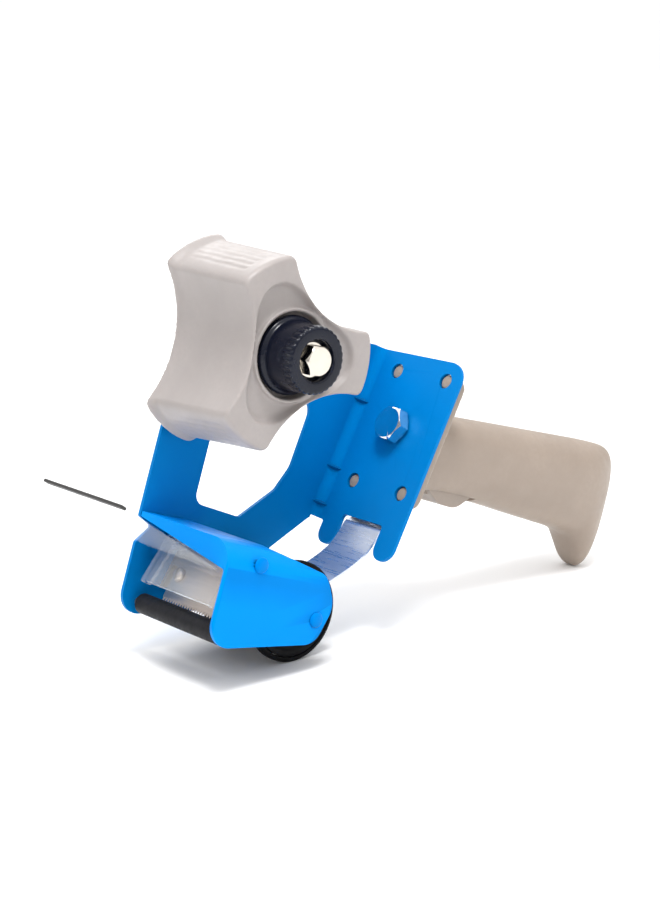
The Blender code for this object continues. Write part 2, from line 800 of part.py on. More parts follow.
def blade_frame():
    """Frame whose X is out of the blade's face, Y along the head and Z up the blade from its tip."""
    rise = Vector((BLADE_TOP[0] - BLADE_TIP[0], 0, BLADE_TOP[1] - BLADE_TIP[1])).normalized()
    out = Vector((0, 1, 0)).cross(rise)
    matrix = Matrix((out, (0, 1, 0), rise)).transposed().to_4x4()
    matrix.translation = Vector((BLADE_TIP[0], 0, BLADE_TIP[1]))
    return matrix


def blade_carrier():
    """Steel bar behind the blade with an end tab on each cheek."""
    end = 53.9
    corners = [(BLADE_LOW, 3), (end, 3), (end, 22), (1.6, 22), (1.6, 14), (BLADE_LOW, 14)]
    outline = rounded([(y, z, 1) for y, z in corners])
    bar = prism_x("blade_carrier", outline, -1.2, 0, "steel")
    shelf = prism_x("shelf", [(1.5, 20.6), (54, 20.6), (54, 21.8), (1.5, 21.8)], -4.5, -0.5, "steel")
    tabs = []
    for low in (GAP, 53.8):
        tab = rounded([(-0.1, 4, 0), (-0.1, 21, 0), (-6, 19, 2), (-6, 7, 2)])
        tabs.append(prism_y("tab", tab, low, low + 1.4))
    fuse(bar, shelf, *tabs)
    cut(bar, *(prism_x("cut", circle((y, BLADE_SCREW_Z), 1.8), -5, 5) for y in BLADE_SCREW_Y))
    return move(bar, blade_frame())


def blade():
    """Serrated cutting strip."""
    low, high, pitch, depth = BLADE_LOW, 52.6, 1.55, 1.7
    teeth = round((high - low) / pitch)
    edge = []
    for k in range(teeth):
        start = low + (high - low) * k / teeth
        edge += [(start, depth), (start + (high - low) / teeth / 2, 0)]
    outline = edge + [(high, depth), (high, 14), (low, 14)]
    strip = prism_x("blade", outline, GAP, GAP + 0.6, "steel")
    cut(strip, *(prism_x("cut", circle((y, BLADE_SCREW_Z), 1.8), -5, 5) for y in BLADE_SCREW_Y))
    return move(strip, blade_frame())


def blade_screws():
    for name, y in zip(("far_blade_screw", "near_blade_screw"), BLADE_SCREW_Y):
        profile = [(0, -2.6), (1.5, -2.6), (1.5, 1.2), (2.9, 1.2), (2.9, 1.9), (2.1, 2.6), (0, 2.7)]
        screw = turned(name, (0, 0), profile, "steel", 20)
        cut(screw, prism_y("cut", [(-0.35, -2.2), (0.35, -2.2), (0.35, 2.2), (-0.35, 2.2)], 2.0, 4))
        # Turn the screw's axis (Y) to the blade's outward X, at its hole.
        turn = Matrix.Translation((0, y, BLADE_SCREW_Z)) @ Matrix.Rotation(math.radians(-90), 4, "Z")
        move(screw, blade_frame() @ turn)


def guard():
    """Clear moulded guard that hangs in front of the blade from its own rod."""
    low, high = 6.2, 51.0
    face = [(0.9, -77.4), (7.6, -94.2)]
    plate = prism_y("guard", ribbon(face, 2.2), low, high, "clear_plastic")
    parts = []
    for start in (low, high - 2.4):
        rib = rounded([(2.0, -75.6, 1), (9.2, -94.4, 0.8), (5.6, -95.4, 0.8), (-2.8, -76.0, 1)])
        parts.append(prism_y("rib", rib, start, start + 2.4))
    for start, end in ((low, 14), (45, high)):
        parts.append(pin("knuckle", GUARD_PIVOT, 3.1, start, end, sides=24))
        parts.append(prism_y("arm", [(-3.5, -73.2), (1.4, -75.8), (0.2, -80.2), (-3.5, -78.4)], start, end))
    fuse(plate, *parts)
    cut(plate, pin("cut", GUARD_PIVOT, 1.8, 0, 57))
    return on_axis(recolour(plate, "clear_plastic"), GUARD_PIVOT)


FLAP_PATH = [(4.7, -81.6), (7.6, -81.4), (12.0, -80.4), (57.2, -65.6)]


def guard_flap():
    """Thin clear flap that reaches forward from the guard and wipes the tape down."""
    flap = prism_y("guard_flap", ribbon(FLAP_PATH, 0.5), 3.4, 53.0, "clear_plastic")
    return on_axis(flap, GUARD_PIVOT)


def flap_edge():
    """Dark stiffening strip along the flap's free edge."""
    start, end = Vector(FLAP_PATH[-2]), Vector(FLAP_PATH[-1])
    along = (end - start).normalized()
    path = [tuple(end + along * GAP), tuple(end + along * (GAP + 2.4))]
    strip = prism_y("flap_edge", ribbon(path, 1.2), 3.4, 53.0, "dark_plastic")
    return on_axis(strip, GUARD_PIVOT)


def guard_spring():
    """Torsion spring on the guard's rod that returns it over the blade."""
    return coil("guard_spring", GUARD_PIVOT, 2.45, 0.7, 24.0, 33.0, 6, "steel", 5, 10)


# ---------------------------------------------------------------- assembly


def stand(parts):
    """Stand the gun on its press wheels and heel, with the origin under the middle of its box."""
    span = Vector(WHEEL) - Vector(HEEL)
    tilt = math.atan2(span.y, span.x) - math.asin(WHEEL_R / span.length)
    gun = bpy.data.objects.new("gun", None)
    bpy.context.scene.collection.objects.link(gun)
    gun.rotation_euler.y = tilt
    for obj in parts:
        obj.parent = gun
    bpy.context.view_layer.update()
    graph = bpy.context.evaluated_depsgraph_get()
    corners = []
    for obj in parts:
        evaluated = obj.evaluated_get(graph)
        corners += [evaluated.matrix_world @ vertex.co for vertex in evaluated.data.vertices]
    low = Vector(min(corner[i] for corner in corners) for i in range(3))
    high = Vector(max(corner[i] for corner in corners) for i in range(3))
    gun.location = (-(low.x + high.x) / 2, -(low.y + high.y) / 2, -low.z)


def main():
    clear_scene()
    side_plate()
    head_cover()
    handle()
    handle_bolt()
    handle_insert()
    brake_strip()
    brake_pin()
    trigger()
    trigger_pin()
    hub()
    hub_bush()
    hub_spindle()
    hub_spacer()
    friction_washer()
    tension_spring()
    knob()
    knob_washer()
    knob_nut()
    front_roller()
    press_wheels()
    headed_rod("wheel_axle", WHEEL, WHEEL_AXLE_R)
    headed_rod("guard_rod", GUARD_PIVOT, GUARD_ROD_R)
    blade_carrier()
    blade()
    blade_screws()
    guard()
    guard_flap()
    flap_edge()
    guard_spring()
    stand(list(bpy.context.scene.objects))


main()
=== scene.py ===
import json
import math

import bmesh
import bpy
from mathutils import Matrix, Vector


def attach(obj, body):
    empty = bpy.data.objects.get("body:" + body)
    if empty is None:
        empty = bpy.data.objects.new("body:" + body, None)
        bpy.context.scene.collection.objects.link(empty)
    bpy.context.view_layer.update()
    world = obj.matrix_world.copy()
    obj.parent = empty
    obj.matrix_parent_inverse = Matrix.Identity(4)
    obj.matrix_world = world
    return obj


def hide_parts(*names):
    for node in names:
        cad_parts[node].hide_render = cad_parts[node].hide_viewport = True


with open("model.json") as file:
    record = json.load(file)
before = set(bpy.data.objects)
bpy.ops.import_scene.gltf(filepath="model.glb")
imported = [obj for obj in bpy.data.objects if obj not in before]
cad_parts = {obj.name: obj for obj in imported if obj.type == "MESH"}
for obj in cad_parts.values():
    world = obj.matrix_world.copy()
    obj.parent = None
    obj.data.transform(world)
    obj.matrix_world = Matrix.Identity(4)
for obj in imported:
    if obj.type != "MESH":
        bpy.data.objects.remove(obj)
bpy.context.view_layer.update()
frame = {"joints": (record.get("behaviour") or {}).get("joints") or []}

# ---------------------------------------------------------------- the gun's own frame
# Pieces are drawn in millimetres with the handle level: X forward, Y from the side plate to the
# open side, Z up, and the hub's axis through the origin at the side plate's inner face. The
# packed joints say how that frame stands in the world.

HUB_MIDDLE_Y = 25.5
WHEEL = (-35.4, -91.9)
GAP = 0.3
SHEET = 1.5

JOINTS = {joint["name"]: joint for joint in frame["joints"]}


def joint_point(name):
    return Vector(JOINTS[name]["pos_m"])


def gun_matrix():
    """Millimetres in the gun's frame to metres in the world."""
    span = joint_point("wheel_spin") - joint_point("hub_spin")
    drawn = math.atan2(WHEEL[1], WHEEL[0])
    tilt = drawn - math.atan2(span.z, span.x)
    turn = Matrix.Rotation(tilt, 4, "Y")
    middle = Matrix.Translation((0, -HUB_MIDDLE_Y, 0))
    return Matrix.Translation(joint_point("hub_spin")) @ turn @ Matrix.Scale(0.001, 4) @ middle


GUN = gun_matrix()


def pivot_of(joint):
    """(x, z) of a joint's axis in the gun's frame."""
    point = GUN.inverted() @ joint_point(joint)
    return point.x, point.z


HUB = (0, 0)
ROLLER = pivot_of("roller_spin")
GUARD_PIVOT = pivot_of("guard_swing")
BRAKE_PIVOT = pivot_of("brake_press")
TRIGGER_PIVOT = pivot_of("trigger_pull")

# Driving sizes. They are the CAD's, except that the fold's radius is wider and the hub's lip and
# far outline are up to 0.4 mm larger.
HEAD_WIDTH = 57.0
SPINDLE_R, WHEEL_AXLE_R, ROD_R, HINGE_PIN_R = 4.0, 2.0, 1.5, 1.2
LEAN = math.radians(10.5)
REAR_X, REAR_Z = -80.1, -16.9
REAR_WIDTH, REAR_TOP, REAR_FOOT = 49.8, 32.0, -51.0
FOLD = 4.0
PEG_Y, PEG_H = (13.3, 41.7), (-23.4, 24.1)
BOLT_Y, BOLT_H = 25.7, 1.5
PEG_HOLE_R, BOLT_HOLE_R = 3.1, 4.4
NOTCH_Y, NOTCH_H = (15.5, 39.0), -37.5
GUSSETS = (8.7, -20.6, -36.0)
PLATE_TOP = 13.8
WEB_Z = -69.3
HEAD_FRONT = 11.7
HUB_FAR, HUB_NEAR, HUB_PHASE = 6.0, 51.0, 53.0
HUB_LIP_SHAPE = (40.2, 20.0, 21.6)
HUB_FAR_SHAPE = (38.2, 20.0, 21.0)
HUB_NEAR_SHAPE = (36.4, 20.0, 19.5)
HUB_WALL = 2.4
KNOB_SEAT, KNOB_FRONT, KNOB_DISH = 46.6, 63.5, 59.0
ROLLER_R = 3.9
WHEEL_R = 19.4
TYRE_Y = ((11.5, 16.0), (40.0, 44.5))
ROD_HEAD_R = 3.0
HANDLE_Y = 25.5
SHARP_ANGLE = math.radians(40)

REAR = Matrix.Translation((REAR_X, 0, REAR_Z)) @ Matrix.Rotation(-LEAN, 4, "Y")
REARWARD = REAR @ Matrix.Rotation(math.radians(90), 4, "Z")
BOLT_SPOT = REARWARD @ Matrix.Translation((BOLT_Y, 0, BOLT_H))
PEGS = [(y, height) for y in PEG_Y for height in PEG_H]


def bore(radius):
    """Radius of a hole that a pin of this radius passes through."""
    return radius + GAP


def rear_point(depth, height):
    """(x, z) of a point this far behind the rear plate's inner face and this high on it."""
    point = REAR @ Vector((-depth, 0, height))
    return point.x, point.z


# ---------------------------------------------------------------- outlines


def polar(radius, degrees):
    turn = math.radians(degrees)
    return Vector((radius * math.cos(turn), radius * math.sin(turn)))


def circle(centre, radius, sides=48):
    return [tuple(Vector(centre) + polar(radius, 360 * k / sides)) for k in range(sides)]


def rounded(corners, step=6):
    """An outline whose corners (u, v, radius) are turned into arcs."""
    points = []
    count = len(corners)
    for i, (u, v, radius) in enumerate(corners):
        here = Vector((u, v))
        if not radius:
            points.append((u, v))
            continue
        back = (Vector(corners[i - 1][:2]) - here).normalized()
        ahead = (Vector(corners[(i + 1) % count][:2]) - here).normalized()
        half = back.angle(ahead) / 2
        centre = here + (back + ahead).normalized() * radius / math.sin(half)
        start = here + back * radius / math.tan(half) - centre
        end = here + ahead * radius / math.tan(half) - centre
        turn = start.angle_signed(end)
        steps = max(3, math.ceil(abs(math.degrees(turn)) / step))
        for k in range(steps + 1):
            spoke = start.copy()
            spoke.rotate(Matrix.Rotation(-turn * k / steps, 2))
            points.append(tuple(centre + spoke))
    return points


def smooth_path(points, per_span=8):
    """Catmull-Rom curve through points."""
    points = [Vector(p) for p in points]
    padded = [2 * points[0] - points[1], *points, 2 * points[-1] - points[-2]]
    path = []
    for i in range(len(points) - 1):
        a, b, c, d = padded[i : i + 4]
        slope, bend, twist = c - a, 2 * a - 5 * b + 4 * c - d, 3 * b - a - 3 * c + d
        for k in range(per_span):
            t = k / per_span
            path.append(0.5 * (2 * b + slope * t + bend * t**2 + twist * t**3))
    return [tuple(p) for p in path + [points[-1]]]


def ribbon(path, thickness):
    """The outline of a strip of even thickness that follows a path."""
    left, right = [], []
    for i, here in enumerate(path):
        here = Vector(here)
        before = Vector(path[max(i - 1, 0)])
        after = Vector(path[min(i + 1, len(path) - 1)])
        first = (here - before).normalized() if i else (after - here).normalized()
        second = (after - here).normalized() if i < len(path) - 1 else first
        along = (first + second).normalized()
        side = Vector((-along.y, along.x)) * thickness / 2 / max(along.dot(first), 0.3)
        left.append(tuple(here + side))
        right.append(tuple(here - side))
    return left + right[::-1]


def hub_outline(shape, points_in_valley=40, points_on_arm=25, corner=1.4):
    """Three arms with round lands and eased corners, joined by circular valleys."""
    reach, half, valley = shape
    points = []
    for arm in range(3):
        middle = HUB_PHASE + 120 * arm
        for k in range(points_on_arm):
            part = 2 * k / (points_on_arm - 1) - 1
            points.append(tuple(polar(reach - corner * abs(part) ** 12, middle + half * part)))
        out = polar(1, middle + 60)
        end = reach - corner
        chord = end * math.sin(math.radians(60 - half))
        depth = end * math.cos(math.radians(60 - half)) - valley
        radius = (chord**2 + depth**2) / (2 * depth)
        swing = math.degrees(math.asin(chord / radius))
        for k in range(1, points_in_valley + 1):
            turn = middle + 240 + swing * (1 - 2 * k / (points_in_valley + 1))
            points.append(tuple(out * (valley + radius) + polar(radius, turn)))
    return points


# ---------------------------------------------------------------- solids


def mesh_object(name, bm):
    bmesh.ops.remove_doubles(bm, verts=bm.verts, dist=1e-5)
    bmesh.ops.recalc_face_normals(bm, faces=bm.faces)
    mesh = bpy.data.meshes.new(name)
    bm.to_mesh(mesh)
    bm.free()
    obj = bpy.data.objects.new(name, mesh)
    bpy.context.scene.collection.objects.link(obj)
    return obj


def loft(name, rings):
    """A closed skin through rings of equal length, with flat ends."""
    bm = bmesh.new()
    rows = [[bm.verts.new(point) for point in ring] for ring in rings]
    for first, second in zip(rows, rows[1:]):
        for i in range(len(first)):
            j = (i + 1) % len(first)
            bm.faces.new((first[i], first[j], second[j], second[i]))
    bm.faces.new(rows[0][::-1])
    bm.faces.new(rows[-1])
    return mesh_object(name, bm)


def prism_y(name, outline, low, high):
    return loft(name, [[(x, y, z) for x, z in outline] for y in (low, high)])


def prism_x(name, outline, low, high):
    return loft(name, [[(x, y, z) for y, z in outline] for x in (low, high)])


def prism_z(name, outline, low, high):
    return loft(name, [[(x, y, z) for x, y in outline] for z in (low, high)])


def turned(name, centre, profile, sides=96):
    """A profile of (radius, y) turned about the Y axis through centre (x, z)."""
    bm = bmesh.new()
    verts = [bm.verts.new((radius, y, 0)) for radius, y in profile]
    edges = [bm.edges.new(pair) for pair in zip(verts, verts[1:])]
    if min(radius for radius, _ in profile) > 0:
        edges.append(bm.edges.new((verts[-1], verts[0])))
    bmesh.ops.spin(
        bm,
        geom=verts + edges,
        cent=(0, 0, 0),
        axis=(0, 1, 0),
        angle=2 * math.pi,
        steps=sides,
        use_merge=True,
    )
    bmesh.ops.translate(bm, vec=(centre[0], 0, centre[1]), verts=bm.verts)
    return mesh_object(name, bm)


def pin(name, centre, radius, low, high, sides=64):
    return turned(name, centre, [(0, low), (radius, low), (radius, high), (0, high)], sides)


def tube(name, centre, inner, outer, low, high, sides=80):
    return turned(name, centre, [(inner, low), (outer, low), (outer, high), (inner, high)], sides)


def coil(name, centre, radius, wire, low, high, turns, sides=10, per_turn=32):
    """A helix about the Y axis through centre."""
    rings = []
    count = int(turns * per_turn)
    for i in range(count + 1):
        turn = 2 * math.pi * i / per_turn
        out = Vector((math.cos(turn), 0, math.sin(turn)))
        middle = Vector((centre[0], low + (high - low) * i / count, centre[1]))
        ring = []
        for k in range(sides):
            t = 2 * math.pi * k / sides
            spoke = out * math.cos(t) + Vector((0, 1, 0)) * math.sin(t)
            ring.append(middle + out * radius + spoke * wire / 2)
        rings.append(ring)
    return loft(name, rings)


def baked(obj):
    """The object with its modifiers applied."""
    bpy.context.view_layer.update()
    graph = bpy.context.evaluated_depsgraph_get()
    mesh = bpy.data.meshes.new_from_object(obj.evaluated_get(graph))
    obj.modifiers.clear()
    obj.data = mesh
    return obj


def combine(target, operation, *tools):
    for tool in tools:
        modifier = target.modifiers.new(operation, "BOOLEAN")
        modifier.operation = operation
        modifier.object = tool
        baked(target)
        bpy.data.objects.remove(tool, do_unlink=True)
    return target


def cut(target, *tools):
    return combine(target, "DIFFERENCE", *tools)


def fuse(target, *tools):
    return combine(target, "UNION", *tools)


def overlap(target, *tools):
    return combine(target, "INTERSECT", *tools)


def join(target, *others):
    """Take other meshes into the target as they are."""
    bm = bmesh.new()
    for obj in (target, *others):
        bm.from_mesh(obj.data)
    bm.to_mesh(target.data)
    bm.free()
    for obj in others:
        bpy.data.objects.remove(obj, do_unlink=True)
    return target


def edged(obj, width, segments=3, angle=30.0):
    """Round every edge sharper than angle."""
    modifier = obj.modifiers.new("edge", "BEVEL")
    modifier.width = width
    modifier.segments = segments
    modifier.limit_method = "ANGLE"
    modifier.angle_limit = math.radians(angle)
    modifier.miter_outer = "MITER_ARC"
    return baked(obj)


def moulded(obj, voxel, rounds=6):
    """Melt all edges and junctions of a plastic moulding into small fillets."""
    remesh = obj.modifiers.new("skin", "REMESH")
    remesh.mode = "VOXEL"
    remesh.voxel_size = voxel
    smooth = obj.modifiers.new("fillet", "SMOOTH")
    smooth.factor = 0.5
    smooth.iterations = rounds
    return baked(obj)


def move(obj, matrix):
    obj.data.transform(matrix)
    return obj


# ---------------------------------------------------------------- materials


class Nodes:
    """A material's node tree, with short calls for the nodes that the finishes share."""

    def __init__(self, name):
        self.material = bpy.data.materials.new(name)
        self.material.use_nodes = True
        self.tree = self.material.node_tree
        self.shader = self.tree.nodes["Principled BSDF"]
        self.place = self.tree.nodes.new("ShaderNodeTexCoord").outputs["Object"]

    def link(self, source, target):
        self.tree.links.new(source, target)

    def noise(self, size, detail=3.0, rough=0.55, stretch=None):
        """Noise whose features are about size metres across."""
        source = self.place
        if stretch:
            mapping = self.tree.nodes.new("ShaderNodeMapping")
            mapping.inputs["Scale"].default_value = stretch
            self.link(source, mapping.inputs["Vector"])
            source = mapping.outputs["Vector"]
        node = self.tree.nodes.new("ShaderNodeTexNoise")
        node.inputs["Scale"].default_value = 1 / size
        node.inputs["Detail"].default_value = detail
        node.inputs["Roughness"].default_value = rough
        self.link(source, node.inputs["Vector"])
        return node.outputs["Fac"]

    def ramp(self, source, low, high, start=0.35, end=0.65):
        node = self.tree.nodes.new("ShaderNodeMapRange")
        node.inputs["From Min"].default_value = start
        node.inputs["From Max"].default_value = end
        node.inputs["To Min"].default_value = low
        node.inputs["To Max"].default_value = high
        self.link(source, node.inputs["Value"])
        return node.outputs["Result"]

    def mix(self, factor, first, second):
        node = self.tree.nodes.new("ShaderNodeMix")
        node.data_type = "RGBA"
        colours = [socket for socket in node.inputs if socket.type == "RGBA"]
        for socket, value in zip(colours, (first, second)):
            if isinstance(value, tuple):
                socket.default_value = (*value, 1)
            else:
                self.link(value, socket)
        self.link(factor, node.inputs["Factor"])
        return next(socket for socket in node.outputs if socket.type == "RGBA")

    def bump(self, height, distance, strength=1.0, after=None):
        node = self.tree.nodes.new("ShaderNodeBump")
        node.inputs["Strength"].default_value = strength
        node.inputs["Distance"].default_value = distance
        self.link(height, node.inputs["Height"])
        if after:
            self.link(after, node.inputs["Normal"])
        return node.outputs["Normal"]

    def edges(self, amount, start=0.53, end=0.62):
        """Where the surface turns sharply outwards, for wear."""
        geometry = self.tree.nodes.new("ShaderNodeNewGeometry")
        return self.ramp(geometry.outputs["Pointiness"], 0, amount, start, end)

    def corner_shade(self, reach):
        """0 deep in corners and pockets narrower than reach, 1 in the open, as the mask for painted
        shade.
        """
        node = self.tree.nodes.new("ShaderNodeAmbientOcclusion")
        node.samples = 8
        node.inputs["Distance"].default_value = reach
        return self.ramp(node.outputs["AO"], 0, 1, 0.30, 0.78)

    def set(self, **values):
        for name, value in values.items():
            self.shader.inputs[name.replace("_", " ")].default_value = value


def tint(colour, factor):
    return tuple(min(1.0, channel * factor) for channel in colour)


def painted(name, colour, gloss=0.36):
    """Powder coat: faint orange peel, uneven sheen, paler rubbed edges and painted shade that
    darkens corners and pockets.
    """
    n = Nodes(name)
    blotch = n.ramp(n.noise(0.030, 2), 0, 1)
    body = n.mix(blotch, tint(colour, 0.94), tint(colour, 1.06))
    # Painted shade: the paint darkens to about a fifth of its colour deep in corners, creases and
    # pockets.
    body = n.mix(n.corner_shade(0.028), tint(colour, 0.22), body)
    worn = n.mix(n.edges(0.55), body, tint(colour, 1.45))
    n.link(worn, n.shader.inputs["Base Color"])
    n.link(n.ramp(n.noise(0.006, 4), gloss - 0.06, gloss + 0.08), n.shader.inputs["Roughness"])
    peel = n.bump(n.noise(0.0011, 2), 0.00003, 0.5)
    grain = n.bump(n.noise(0.00025, 2), 0.00001, 0.5, peel)
    n.link(grain, n.shader.inputs["Normal"])
    n.set(Specular_IOR_Level=0.15)
    n.shader.inputs["Specular Tint"].default_value = (0.0, 0.5, 1.0, 1)
    return n.material


def plastic(name, colour, rough=0.42, grain=0.00002, spread=0.05, translucent=0.0, sheen=0.4):
    """Moulded plastic: fine grain, slow tone shifts and smoother rubbed edges."""
    n = Nodes(name)
    tone = n.ramp(n.noise(0.022, 3), 0, 1)
    body = n.mix(tone, tint(colour, 1 - spread), tint(colour, 1 + spread))
    fleck = n.ramp(n.noise(0.0016, 3), 0, 0.35)
    body = n.mix(fleck, body, tint(colour, 1 - 1.4 * spread))
    worn = n.mix(n.edges(0.35), body, tint(colour, 1.18))
    n.link(worn, n.shader.inputs["Base Color"])
    n.link(n.ramp(n.noise(0.004, 4), rough - 0.06, rough + 0.08), n.shader.inputs["Roughness"])
    skin = n.bump(n.noise(0.00035, 3), grain, 0.6)
    sink = n.bump(n.noise(0.009, 2), 0.00012, 0.4, skin)
    n.link(sink, n.shader.inputs["Normal"])
    n.set(Specular_IOR_Level=sheen)
    if translucent:
        n.set(Subsurface_Weight=translucent, Subsurface_Scale=0.004)
        n.shader.inputs["Subsurface Radius"].default_value = (1.0, 0.75, 0.6)
    return n.material


def plated(name, colour=(0.86, 0.87, 0.88), rough=0.07):
    """Bright plating with faint ripples and hairline scratches."""
    n = Nodes(name)
    haze = n.ramp(n.noise(0.005, 4), 0, 1)
    n.link(n.mix(haze, tint(colour, 0.92), colour), n.shader.inputs["Base Color"])
    n.link(n.ramp(n.noise(0.0025, 5), rough - 0.03, rough + 0.06), n.shader.inputs["Roughness"])
    ripple = n.bump(n.noise(0.004, 2), 0.00004, 0.5)
    hair = n.bump(n.noise(0.0006, 4, 0.7, (1, 0.08, 1)), 0.000006, 0.5, ripple)
    n.link(hair, n.shader.inputs["Normal"])
    n.set(Metallic=1.0)
    return n.material


def brushed(name, colour, rough=0.32, grain=0.00001, contrast=0.14):
    """Drawn steel: grain along the head, with darker and cleaner patches."""
    n = Nodes(name)
    along = (1, 0.05, 1)
    streak = n.ramp(n.noise(0.0009, 5, 0.65, along), 0, 1)
    patch = n.ramp(n.noise(0.011, 3), 0, 0.5)
    body = n.mix(streak, tint(colour, 1 - contrast), colour)
    body = n.mix(patch, body, tint(colour, 0.8))
    worn = n.mix(n.edges(0.6), body, tint(colour, 1.25))
    n.link(worn, n.shader.inputs["Base Color"])
    n.link(n.ramp(streak, rough - 0.08, rough + 0.1, 0, 1), n.shader.inputs["Roughness"])
    n.link(n.bump(n.noise(0.0007, 4, 0.6, along), grain, 0.5), n.shader.inputs["Normal"])
    n.set(Metallic=0.85)
    return n.material


def rubber(name, colour, rough=0.6):
    """Matt rubber with a dusty bloom and fine ground texture."""
    n = Nodes(name)
    bloom = n.ramp(n.noise(0.006, 4), 0, 0.6)
    body = n.mix(bloom, colour, tint(colour, 1.7))
    worn = n.mix(n.edges(0.5), body, tint(colour, 3.0))
    n.link(worn, n.shader.inputs["Base Color"])
    n.link(n.ramp(n.noise(0.002, 4), rough - 0.1, rough + 0.12), n.shader.inputs["Roughness"])
    ground = n.bump(n.noise(0.00045, 4, 0.6, (1, 0.3, 1)), 0.00001, 0.5)
    n.link(ground, n.shader.inputs["Normal"])
    n.set(Specular_IOR_Level=0.12)
    return n.material


def clear(name, facing=0.10, edge=0.85, rough=0.08):
    """Thin clear plastic: almost unseen face on, with a painted highlight that makes it whiter
    where it is looked through edge on.
    """
    n = Nodes(name)
    milk = n.ramp(n.noise(0.008, 3), 0, 1)
    n.link(n.mix(milk, (0.86, 0.89, 0.91), (0.92, 0.94, 0.95)), n.shader.inputs["Base Color"])
    haze = n.ramp(n.noise(0.003, 5), rough - 0.04, rough + 0.10, 0.4, 0.75)
    n.link(haze, n.shader.inputs["Roughness"])
    n.link(n.bump(n.noise(0.012, 2), 0.00008, 0.4), n.shader.inputs["Normal"])
    # Painted highlight: the pale colour grows more opaque towards edge-on views.
    weight = n.tree.nodes.new("ShaderNodeLayerWeight")
    weight.inputs["Blend"].default_value = 0.35
    n.link(n.ramp(weight.outputs["Facing"], facing, edge, 0.25, 1.0), n.shader.inputs["Alpha"])
    n.set(Specular_IOR_Level=0.8)
    return n.material


BLUE = (0.0, 0.158, 0.45)
BRIGHT_BLUE = (0.0, 0.225, 0.70)
BEIGE = (0.385, 0.350, 0.338)
HANDLE_BEIGE = (0.350, 0.285, 0.235)
NAVY = (0.0045, 0.0065, 0.016)

FINISH = {
    "blue": painted("blue_powder_coat", BLUE),
    "bright_blue": painted("bright_blue_powder_coat", BRIGHT_BLUE),
    "hub": plastic("hub_plastic", BEIGE, 0.40, translucent=0.12),
    "handle": plastic("handle_plastic", HANDLE_BEIGE, 0.44, translucent=0.12),
    "trigger": plastic("trigger_plastic", (0.36, 0.30, 0.255), 0.46, translucent=0.08),
    "navy": plastic("navy_plastic", NAVY, 0.20, grain=0.000008, spread=0.15, sheen=0.3),
    "dark": plastic("dark_plastic", (0.004, 0.004, 0.005), 0.40, spread=0.15, sheen=0.12),
    "chrome": plated("bright_chrome"),
    "nickel": plated("warm_nickel", (0.74, 0.69, 0.61), 0.14),
    "sprung": brushed("sprung_steel", (0.70, 0.75, 0.86), 0.30, grain=0.0000015, contrast=0.04),
    "steel": brushed("drawn_steel", (0.60, 0.57, 0.53)),
    "blade": brushed("blade_steel", (0.72, 0.62, 0.55), 0.36),
    "brass": plated("machined_brass", (0.70, 0.50, 0.22), 0.25),
    "rubber": rubber("black_rubber", (0.0025, 0.0025, 0.003)),
    "roller": rubber("roller_rubber", (0.012, 0.012, 0.014), 0.5),
    "clear": clear("clear_guard", 0.06, 0.95),
    "film": clear("clear_film", 0.02, 0.30),
    "strip": plastic("edge_strip", (0.045, 0.043, 0.042), 0.5, spread=0.12),
}


# ---------------------------------------------------------------- pieces


def piece(obj, finish, slot, body, *nodes):
    """Stand a finished mesh in the world, give it its material, hang it on its body and hide the
    CAD parts it stands for.
    """
    obj.data.transform(GUN)
    obj.data.materials.clear()
    obj.data.materials.append(FINISH[finish])
    obj.data.shade_smooth()
    obj.data.set_sharp_from_angle(angle=SHARP_ANGLE)
    even = obj.modifiers.new("even", "WEIGHTED_NORMAL")
    even.keep_sharp = True
    baked(obj)
    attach(obj, body)
    if nodes:
        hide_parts(*nodes)


